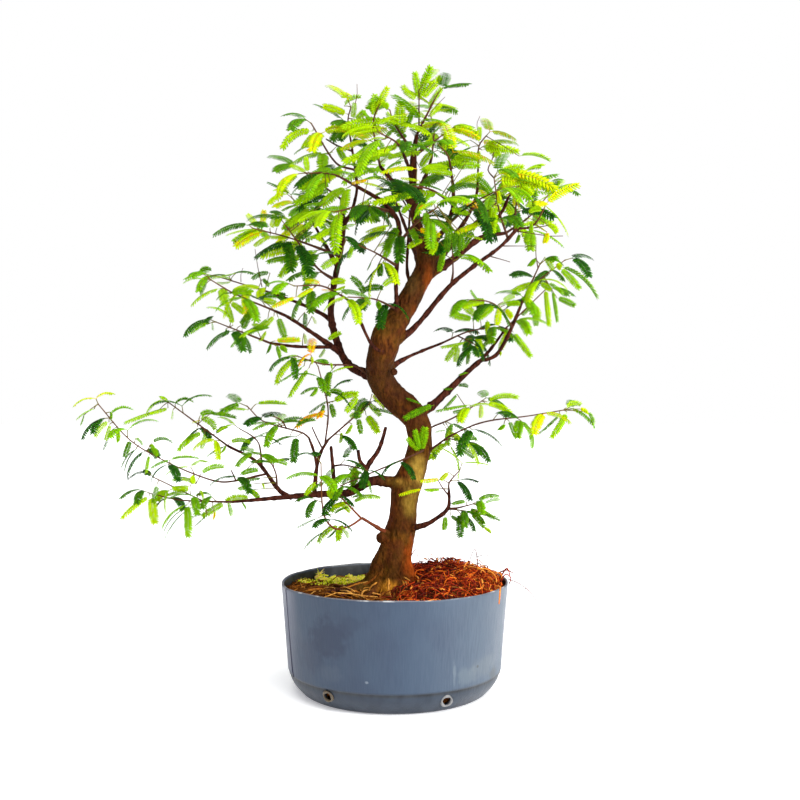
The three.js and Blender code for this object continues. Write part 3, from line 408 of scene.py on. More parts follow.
def newGroup(name, **inputs):  # a group with these inputs, which puts out a mask
    tree = bpy.data.node_groups.new(name, "ShaderNodeTree")
    for socket, value in inputs.items():
        kind = "NodeSocketVector" if isinstance(value, tuple) else "NodeSocketFloat"
        tree.interface.new_socket(name=socket, in_out="INPUT", socket_type=kind).default_value = value
    tree.interface.new_socket(name="Mask", in_out="OUTPUT", socket_type="NodeSocketFloat")
    return tree, tree.nodes.new("NodeGroupInput").outputs, tree.nodes.new("NodeGroupOutput").inputs["Mask"]


def blotchGroup():  # uneven patches, stretched as wanted
    tree, given, mask = newGroup("blotches", Stretch=(1, 1, 1), Scale=100, Detail=3, Low=0.4, High=0.6)
    stretched = arithmetic(tree, "MULTIPLY", placeOn(tree), given["Stretch"], kind="VectorMath")
    pattern = addNode(tree, "TexNoise", Vector=stretched, Scale=given["Scale"], Detail=given["Detail"])
    tree.links.new(eased(tree, pattern.outputs[0], given["Low"], given["High"]), mask)
    return tree


def spotGroup():  # one soft-edged oval at a place on the surface
    tree, given, mask = newGroup("spot", Centre=(0, 0, 0), Size=(0.01, 0.01, 0.01), Edge=0.5, Uneven=0.4)
    rim = 1.2  # where the spot ends, in its own sizes
    place = placeOn(tree)
    offset = arithmetic(tree, "SUBTRACT", place, given["Centre"], kind="VectorMath")
    scaled = arithmetic(tree, "DIVIDE", offset, given["Size"], kind="VectorMath")
    reach = arithmetic(tree, "LENGTH", scaled, kind="VectorMath", output="Value")
    pattern = addNode(tree, "TexNoise", Vector=place, Scale=90.0, Detail=3.0).outputs[0]
    edge = arithmetic(tree, "ADD", reach, product(tree, pattern, given["Uneven"]))
    inner = arithmetic(tree, "SUBTRACT", rim, given["Edge"])
    tree.links.new(eased(tree, edge, inner, rim, 1.0, 0.0), mask)
    return tree


blotches = blotchGroup()
spot = spotGroup()


def placeGroup(tree, group, **inputs):
    node = tree.nodes.new("ShaderNodeGroup")
    node.node_tree = group
    for name, value in inputs.items():
        node.inputs[name].default_value = value
    return node.outputs[0]


def patches(tree, scale, low=0.4, high=0.6, detail=3.0, stretch=1.0):  # longer along Z with a low stretch
    return placeGroup(tree, blotches, Stretch=(1, 1, stretch), Scale=scale, Detail=detail, Low=low,
                      High=high)


def newMaterial(name, roughness, gloss=0.3, more=None):
    material = bpy.data.materials.new(name)
    material.use_nodes = True
    tree = material.node_tree
    shader = tree.nodes["Principled BSDF"]
    settings = {"Roughness": roughness, "Specular IOR Level": gloss, **(more or {})}
    for socket, value in settings.items():
        shader.inputs[socket].default_value = value
    return material, tree, shader


def mixed(tree, share, low, high):  # one colour over another
    node = addNode(tree, "Mix", {"data_type": "RGBA"}, i0=share)
    for socket, colour in ((node.inputs[6], low), (node.inputs[7], high)):
        if isinstance(colour, bpy.types.NodeSocket):
            tree.links.new(colour, socket)
        else:
            socket.default_value = (*colour, 1)
    return node.outputs[2]


def layered(tree, colour, *layers):  # tints laid over one another, each with its mask and share
    for mask, share, tint in layers:
        colour = mixed(tree, product(tree, mask, share), colour, tint)
    return colour


def spotted(tree, colour, spots, edge, uneven, within=1.0):
    for centre, size, share, tint in spots:
        mask = placeGroup(tree, spot, Centre=centre, Size=size, Edge=edge, Uneven=uneven)
        colour = layered(tree, colour, (product(tree, mask, within), share, tint))
    return colour


def rampOf(tree, value, stops):
    node = addNode(tree, "ValToRGB", Fac=value)
    ramp = node.color_ramp
    while len(ramp.elements) < len(stops):
        ramp.elements.new(0.5)
    for element, (position, colour) in zip(ramp.elements, stops):
        element.position = position
        element.color = (*colour, 1)
    return node.outputs[0]


def bumpFrom(tree, shader, height, distance, strength=1.0):
    bump = addNode(tree, "Bump", Height=height, Distance=distance, Strength=strength)
    tree.links.new(bump.outputs[0], shader.inputs["Normal"])


def tonedMaterial(look):  # a colour for each tone, with patches of a darker one, and relief
    material, tree, shader = newMaterial(look["name"], look["roughness"], look["gloss"])
    colour = rampOf(tree, attribute(tree, "tone"), look["tones"])
    colour = layered(tree, colour, (patches(tree, *look["patches"]), look["share"], look["tint"]))
    tree.links.new(colour, shader.inputs["Base Color"])
    if "relief" in look:
        bumpFrom(tree, shader, patches(tree, *look["relief"]), look["depth"])
    return material


leafLook = {
    "roughness": 0.5, "gloss": 0.06, "patches": (160.0, 0.3, 0.7, 2.0), "uneven": -0.05,
    "relief": (900.0, 0.2, 0.8, 1.0), "depth": 0.0002,
    "through": {"Subsurface Weight": 0.35, "Subsurface Radius": (0.6, 1.0, 0.1),
                "Subsurface Scale": 0.0015},
    "tones": [(0.0, (0.006, 0.035, 0.001)), (0.25, (0.035, 0.13, 0.001)), (0.5, (0.15, 0.38, 0.0)),
              (0.75, (0.36, 0.62, 0.0)), (0.88, (0.52, 0.74, 0.0)), (0.93, (0.80, 0.58, 0.0)),
              (0.98, (0.90, 0.24, 0.0))],
}
stemLook = {  # tone 0 is woody and 1 a young shoot
    "name": "twigBark", "roughness": 0.6, "gloss": 0.15,
    "tones": [(0.0, (0.035, 0.008, 0.005)), (0.35, (0.075, 0.018, 0.008)), (0.55, (0.12, 0.05, 0.010)),
              (0.7, (0.16, 0.16, 0.006)), (0.85, (0.13, 0.020, 0.004)), (1.0, (0.30, 0.06, 0.008))],
    "patches": (420.0, 0.35, 0.65), "share": 0.45, "tint": (0.12, 0.045, 0.014),
    "relief": (900.0, 0.2, 0.8), "depth": 0.0003,
}


def leafMaterial():
    look = leafLook
    material, tree, shader = newMaterial("leafGreen", look["roughness"], look["gloss"], look["through"])
    tone = arithmetic(tree, "MULTIPLY_ADD", patches(tree, *look["patches"]), look["uneven"],
                      attribute(tree, "tone"))
    tree.links.new(rampOf(tree, tone, look["tones"]), shader.inputs["Base Color"])
    bumpFrom(tree, shader, patches(tree, *look["relief"]), look["depth"])
    return material


barkLook = {  # patterns as patches takes them, and tints with their share
    "ridges": (330.0, 0.33, 0.68, 6.0, 0.4), "scales": (260.0, 0.35, 0.68, 6.0, 0.6),
    "film": (45.0, 0.42, 0.62), "shade": (26.0, 0.47, 0.56),
    "young": ((0.019, 0.005, 0.003), (0.076, 0.018, 0.009)),
    "old": ((0.024, 0.005, 0.001), (0.101, 0.022, 0.002)), "scaleTint": (0.5, (0.189, 0.059, 0.006)),
    "filmTint": (0.35, (0.084, 0.046, 0.002)), "shadeTint": (0.5, (0.022, 0.006, 0.001)),
    "speckle": (0.35, 0.65), "patchEdge": 0.8, "patchUneven": 0.7,
    "roughness": (0.85, 0.6), "relief": (0.0007, 0.9),
}
# Tinted patches of the trunk, among them a painted shadow and a painted highlight: middle, size, share and
# colour
barkPatches = (
    ((-0.006, -0.01, 0.345), (0.070, 0.06, 0.060), 0.85, (0.030, 0.009, 0.003)),
    ((-0.022, -0.01, 0.385), (0.013, 0.04, 0.032), 0.55, (0.028, 0.009, 0.003)),
    # Painted shadow: the crown's shade darkening the top of the trunk.
    ((0.015, -0.01, 0.440), (0.080, 0.08, 0.070), 0.45, (0.030, 0.010, 0.003)),
    ((0.010, -0.01, 0.400), (0.060, 0.06, 0.085), 0.50, (0.050, 0.014, 0.003)),
    ((0.018, -0.02, 0.449), (0.014, 0.04, 0.032), 0.55, (0.187, 0.099, 0.030)),
    ((0.037, -0.005, 0.440), (0.009, 0.03, 0.045), 0.85, (0.302, 0.059, 0.004)),
    ((0.021, -0.005, 0.405), (0.007, 0.03, 0.030), 0.75, (0.259, 0.050, 0.004)),
    ((-0.012, -0.02, 0.392), (0.014, 0.04, 0.022), 0.50, (0.122, 0.059, 0.007)),
    ((0.024, -0.01, 0.298), (0.034, 0.05, 0.026), 0.70, (0.036, 0.009, 0.003)),
    # Painted highlight on the lit right side of the trunk, over olive bark.
    ((0.025, -0.01, 0.242), (0.018, 0.04, 0.032), 0.85, (0.42, 0.27, 0.040)),
    ((0.002, -0.02, 0.228), (0.030, 0.03, 0.010), 0.70, (0.26, 0.14, 0.018)),
    ((0.018, -0.02, 0.207), (0.017, 0.03, 0.030), 0.80, (0.31, 0.19, 0.025)),
    ((-0.006, -0.02, 0.200), (0.012, 0.04, 0.044), 0.75, (0.120, 0.022, 0.003)),
    ((0.002, -0.03, 0.155), (0.028, 0.04, 0.024), 0.65, (0.050, 0.012, 0.003)),
    ((-0.032, -0.03, 0.118), (0.022, 0.05, 0.030), 0.75, (0.085, 0.048, 0.004)),
    ((0.020, -0.03, 0.142), (0.018, 0.05, 0.046), 0.72, (0.40, 0.065, 0.003)),
    ((-0.006, -0.045, 0.110), (0.018, 0.04, 0.024), 0.9, (0.62, 0.25, 0.014)),
)


def barkMaterial():  # tone 0 is a thin bough, 1 the old trunk
    look = barkLook
    material, tree, shader = newMaterial("bark", 0.8, 0.06)
    ridges, scales = patches(tree, *look["ridges"]), patches(tree, *look["scales"])
    old = layered(tree, mixed(tree, ridges, *look["old"]), (scales, *look["scaleTint"]),
                  (patches(tree, *look["film"]), *look["filmTint"]),
                  (patches(tree, *look["shade"]), *look["shadeTint"]))
    speckled = arithmetic(tree, "MULTIPLY_ADD", ridges, *look["speckle"])
    # The patches include a painted shadow under the crown and a painted highlight on the lit right side.
    old = spotted(tree, old, barkPatches, look["patchEdge"], look["patchUneven"], speckled)
    young = mixed(tree, ridges, *look["young"])
    tree.links.new(mixed(tree, attribute(tree, "tone"), young, old), shader.inputs["Base Color"])
    tree.links.new(ranged(tree, ridges, *look["roughness"]), shader.inputs["Roughness"])
    bumpFrom(tree, shader, arithmetic(tree, "ADD", ridges, scales), *look["relief"])
    return material


leafGreen = leafMaterial()
twigBark = tonedMaterial(stemLook)
bark = barkMaterial()
print("plant materials made")


# Tree: the trunk with its roots is remeshed into one body, and the boughs grow out of collars on it

soilShape = {
    "rimHeight": 119, "belowRim": 9, "mound": 15, "moundAcross": (-5, 62), "edge": (95, 119),
    "edgeDrop": 0.75, "rise": 5, "riseSpread": 1500, "hollow": 6, "hollowBack": (20, 80),
    "hollowLeft": (10, -50),
}


def soilHeight(x, y):  # in mm, as in the part's source
    look = soilShape
    heap = look["mound"] * smoothStep(*look["moundAcross"], x)
    heap *= 1 - look["edgeDrop"] * smoothStep(*look["edge"], math.hypot(x, y))
    rise = look["rise"] * math.exp(-((x + 8) ** 2 + (y + 14) ** 2) / look["riseSpread"])
    hollow = look["hollow"] * smoothStep(*look["hollowBack"], y) * smoothStep(*look["hollowLeft"], x)
    lumps = (1.1 * math.sin(0.21 * x + 0.6) * math.cos(0.19 * y)
             + 0.9 * math.sin(0.34 * x - 0.27 * y + 1.3))
    return look["rimHeight"] - look["belowRim"] + heap + rise - hollow + lumps


trunkLook = {
    "sides": 30, "rootSides": 12, "spacing": 4 * mm, "voxel": 1.0 * mm, "smoothing": 4, "flare": (175, 105),
    "lobes": ((0.2, 5, 0.9), (0.09, 3, -0.4)),  # of the flare: share, count and turn
    "swellings": ((0.045, 3, 0.07), (0.03, 2, -0.13)),  # share, count and twist for each mm of height
    "lumps": 0.9 * mm, "lumpScale": 75, "ridges": 0.7 * mm, "ridgeScale": 330, "ridgeStretch": 0.2,
    "girth": (3 * mm, 12 * mm), "beside": (2.2, 1.2), "onThin": 0.35,
    "collarLength": 20 * mm, "collarFlare": 1.28, "collarEnd": 0.8, "carriesBoughs": 5.5 * mm,
}
boughLook = {
    "sides": 12, "spacing": 3.5 * mm, "thickness": 0.94, "knots": 0.22, "knotSpacing": 24 * mm,
    "knotPower": 6, "rough": 0.12, "roughScale": 260, "grain": 0.16, "grainScale": 420, "redTone": 0.85,
    "oldBarkEnds": -4,
}
# Old stubs that have healed over: their middle in the picture's units and their radius in mm
trunkKnobs = ((381, 538, -26, 6.5), (397, 481, -16, 4), (394, 372, -22, 4.5))


def shapeTrunk(shape, rings):  # the flare at the foot and the slow swellings higher up
    for verts, centre in rings:
        height = centre.z / mm
        foot = smoothDown(*trunkLook["flare"], height)
        for v in verts:
            out = v.co - centre
            turn = math.atan2(out.y, out.x)
            lobes = sum(share * foot * math.cos(count * turn + phase)
                        for share, count, phase in trunkLook["lobes"])
            swellings = sum(share * math.sin(count * turn + height * twist)
                            for share, count, twist in trunkLook["swellings"])
            v.co = centre + out * (1 + lobes + swellings)


trunkFoot = {"x": -9, "y": -16}
rootLook = {
    "start": 12, "climb": 9, "climbEnds": 0.38, "curl": 1.3, "proud": 0.55, "dive": 1.9, "diveFrom": 0.6,
    "stations": (0, 0.25, 0.5, 0.75, 1), "taper": (1.25, 0.85),
}
# Surface roots: bearing from the trunk in degrees (0 is +X), how far out they run, radius and sweep
surfaceRoots = [
    (192, 84, 4, 9), (216, 72, 4.6, -8), (245, 56, 5.2, 6), (275, 54, 4.8, -5), (308, 60, 4.4, -8),
    (345, 62, 4, 9), (50, 56, 4.2, -7), (125, 56, 4.4, 8),
]


def rootStations(degrees, reach, radius, sideways):
    look = rootLook
    bearing = math.radians(degrees)
    points = []
    radii = []
    for share in look["stations"]:
        out = look["start"] + (reach - look["start"]) * share
        side = sideways * math.sin(share * math.pi * look["curl"]) * share
        x = trunkFoot["x"] + out * math.cos(bearing) - side * math.sin(bearing)
        y = trunkFoot["y"] + out * math.sin(bearing) + side * math.cos(bearing)
        climb = look["climb"] * smoothDown(look["climbEnds"], 0, share)
        proud = radius * (look["proud"] - look["dive"] * smoothStep(look["diveFrom"], 1, share)) + climb
        points.append(Vector((x, y, soilHeight(x, y) + proud)) * mm)
        radii.append(radius * (look["taper"][0] - look["taper"][1] * share) * mm)
    return smoothRoute(points, radii, trunkLook["spacing"])


trunkPoints, trunkRadii = routeStations(trunkRoute, trunkLook["spacing"])
trunkTree = kdtree.KDTree(len(trunkPoints))
for i, point in enumerate(trunkPoints):
    trunkTree.insert(point, i)
trunkTree.balance()


def growsFromTrunk(start):
    index, distance = trunkTree.find(start)[1:]
    return distance < trunkRadii[index] and trunkRadii[index] > trunkLook["carriesBoughs"]


def collarOf(points, radii):  # the first stretch of a bough, wider where it leaves the trunk
    flare = trunkLook["collarFlare"]
    walked = 0
    collar = [points[0]]
    collarRadii = [radii[0] * flare]
    for before, point, radius in zip(points, points[1:], radii[1:]):
        walked += (point - before).length
        share = min(1, walked / (trunkLook["collarLength"] + radii[0]))
        collar.append(point)
        collarRadii.append(radius * (flare + (trunkLook["collarEnd"] - flare) * share))
        if share == 1:
            break
    return collar, collarRadii


def buildTrunk():
    look = trunkLook
    bm = newShape()
    sweep(bm, trunkPoints, trunkRadii, look["sides"], shaping=shapeTrunk)
    for root in surfaceRoots:
        sweep(bm, *rootStations(*root), look["rootSides"])
    for route in boughRoutes.values():
        points, radii = routeStations(route, boughLook["spacing"], boughLook["thickness"])
        if growsFromTrunk(points[0]):
            sweep(bm, *collarOf(points, radii), look["rootSides"])
    for knob in trunkKnobs:
        bmesh.ops.create_icosphere(bm, subdivisions=2, radius=knob[3] * mm,
                                   matrix=Matrix.Translation(fromSheet(knob)))
    holder = inScene("trunkRough", meshOf(bm, "trunkRough"))
    remesh = holder.modifiers.new("remesh", "REMESH")
    remesh.mode = "VOXEL"
    remesh.voxel_size = look["voxel"]
    smooth = holder.modifiers.new("smooth", "SMOOTH")
    smooth.factor = 0.5
    smooth.iterations = look["smoothing"]
    mesh = withModifiers(holder)
    weatherWood(mesh)
    return finishPiece(mesh, "trunkAndRoots", [bark], ["trunk"])


def weatherWood(mesh):  # ridges along the grain and lumps across it, fainter on thin wood
    look = trunkLook
    places = valuesOf(mesh.vertices, "co", 3)
    normals = valuesOf(mesh.vertex_normals, "vector", 3)
    tones = np.empty(len(places), np.float32)
    for i in range(len(places)):
        place = Vector(places[i])
        index, distance = trunkTree.find(place)[1:]
        radius = trunkRadii[index]
        girth = smoothStep(*look["girth"], radius) * smoothDown(*look["beside"], distance / radius)
        grain = Vector((place.x, place.y, place.z * look["ridgeStretch"])) * look["ridgeScale"]
        ridge = noise.noise(grain) + 0.5 * noise.noise(grain * 2.3)
        push = look["lumps"] * noise.noise(place * look["lumpScale"]) + look["ridges"] * ridge
        places[i] += normals[i] * push * (look["onThin"] + (1 - look["onThin"]) * girth)
        tones[i] = girth
    mesh.vertices.foreach_set("co", places.ravel())
    layer = mesh.attributes.get("tone") or mesh.attributes.new("tone", "FLOAT", "POINT")
    layer.data.foreach_set("value", tones)
    mesh.update()


def boughStations(route):  # thicker at the joints of the wood, and never quite even
    look = boughLook
    points, radii = routeStations(route, look["spacing"], look["thickness"])
    walked = 0
    for i in range(1, len(points) - 1):
        walked += (points[i] - points[i - 1]).length
        knot = max(0, math.cos(walked / look["knotSpacing"] * 2 * math.pi)) ** look["knotPower"]
        uneven = noise.noise(points[i] * look["roughScale"])
        radii[i] *= 1 + look["knots"] * knot + look["rough"] * uneven
    return points, radii


def roughenBough(shape, rings):
    for verts, centre in rings:
        for v in verts:
            uneven = boughLook["grain"] * noise.noise(v.co * boughLook["grainScale"])
            v.co = centre + (v.co - centre) * (1 + uneven)


redShoots = {"knobShoot", "knobShootTips"}


def buildBoughs():
    bm = newShape()
    for name, route in boughRoutes.items():
        red = name in redShoots
        old = name == "lowLeft"  # its first part has the trunk's bark
        sweep(bm, *boughStations(route), boughLook["sides"], material=int(red), shaping=roughenBough,
              tone=boughLook["redTone"] if red else float(old),
              toneEnd=boughLook["oldBarkEnds"] if old else None)
    return finishPiece(bm, "boughs", [bark, twigBark])


# Bare shoots and stubs that stand out of the leaves: tone and route
bareShoots = (
    (0.0, [(352,151,8,1.2), (338,146,2,1.0), (326,139,-4,0.8)]),
    (0.5, [(355,104,-4,0.5), (357,96,-6,0.4), (357,84,-8,0.3)]),
    (0.3, [(429,116,-9,0.5), (437,105,-8,0.4), (445,97,-8,0.3)]),
    (0.3, [(479,136,36,0.5), (477,124,34,0.35), (480,116,32,0.3)]),
    (0.1, [(494,178,-46,0.8), (488,170,-42,0.7), (492,160,-40,0.6), (494,152,-40,0.5)]),
    (0.85, [(453,200,-24,1.2), (453,188,-27,1.4), (452,180,-28,1.9)]),
    (0.2, [(516,231,-31,0.7), (535,234,-36,0.5), (550,236,-40,0.45), (563,236,-44,0.4)]),
    (0.2, [(502,246,-34,0.7), (518,246,-38,0.4), (535,246,-42,0.35)]),
    (0.2, [(538,268,-4,0.8), (536,256,-6,0.5), (536,245,-8,0.4)]),
    (0.2, [(489,256,-34,0.7), (500,259,-38,0.45), (510,262,-42,0.4)]),
    (0.2, [(533,228,-36,0.7), (545,226,-40,0.5), (556,224,-44,0.4)]),
    (0.2, [(262,287,47,0.6), (258,268,42,0.45), (255,249,38,0.35)]),
    (0.2, [(241,282,56,0.5), (241,274,54,0.35), (243,268,54,0.3)]),
    (0.0, [(322,448,-8,1.1), (316,436,-12,0.9), (312,427,-14,0.8)]),
    (0.1, [(449,496,-33,1.0), (442,487,-34,0.8), (438,480,-35,0.6)]),
    (0.1, [(236,481,-34,1.0), (233,474,-36,0.8), (231,470,-37,0.7)]),
)


def buildThinWood(name, shoots, sides, spacing, material):
    bm = newShape()
    for tone, route in shoots:
        sweep(bm, *routeStations(route, spacing), sides, tone=tone)
    return finishPiece(bm, name, [material])


trunkPiece = buildTrunk()
buildBoughs()
buildThinWood("bareShoots", bareShoots, 6, boughLook["spacing"], twigBark)
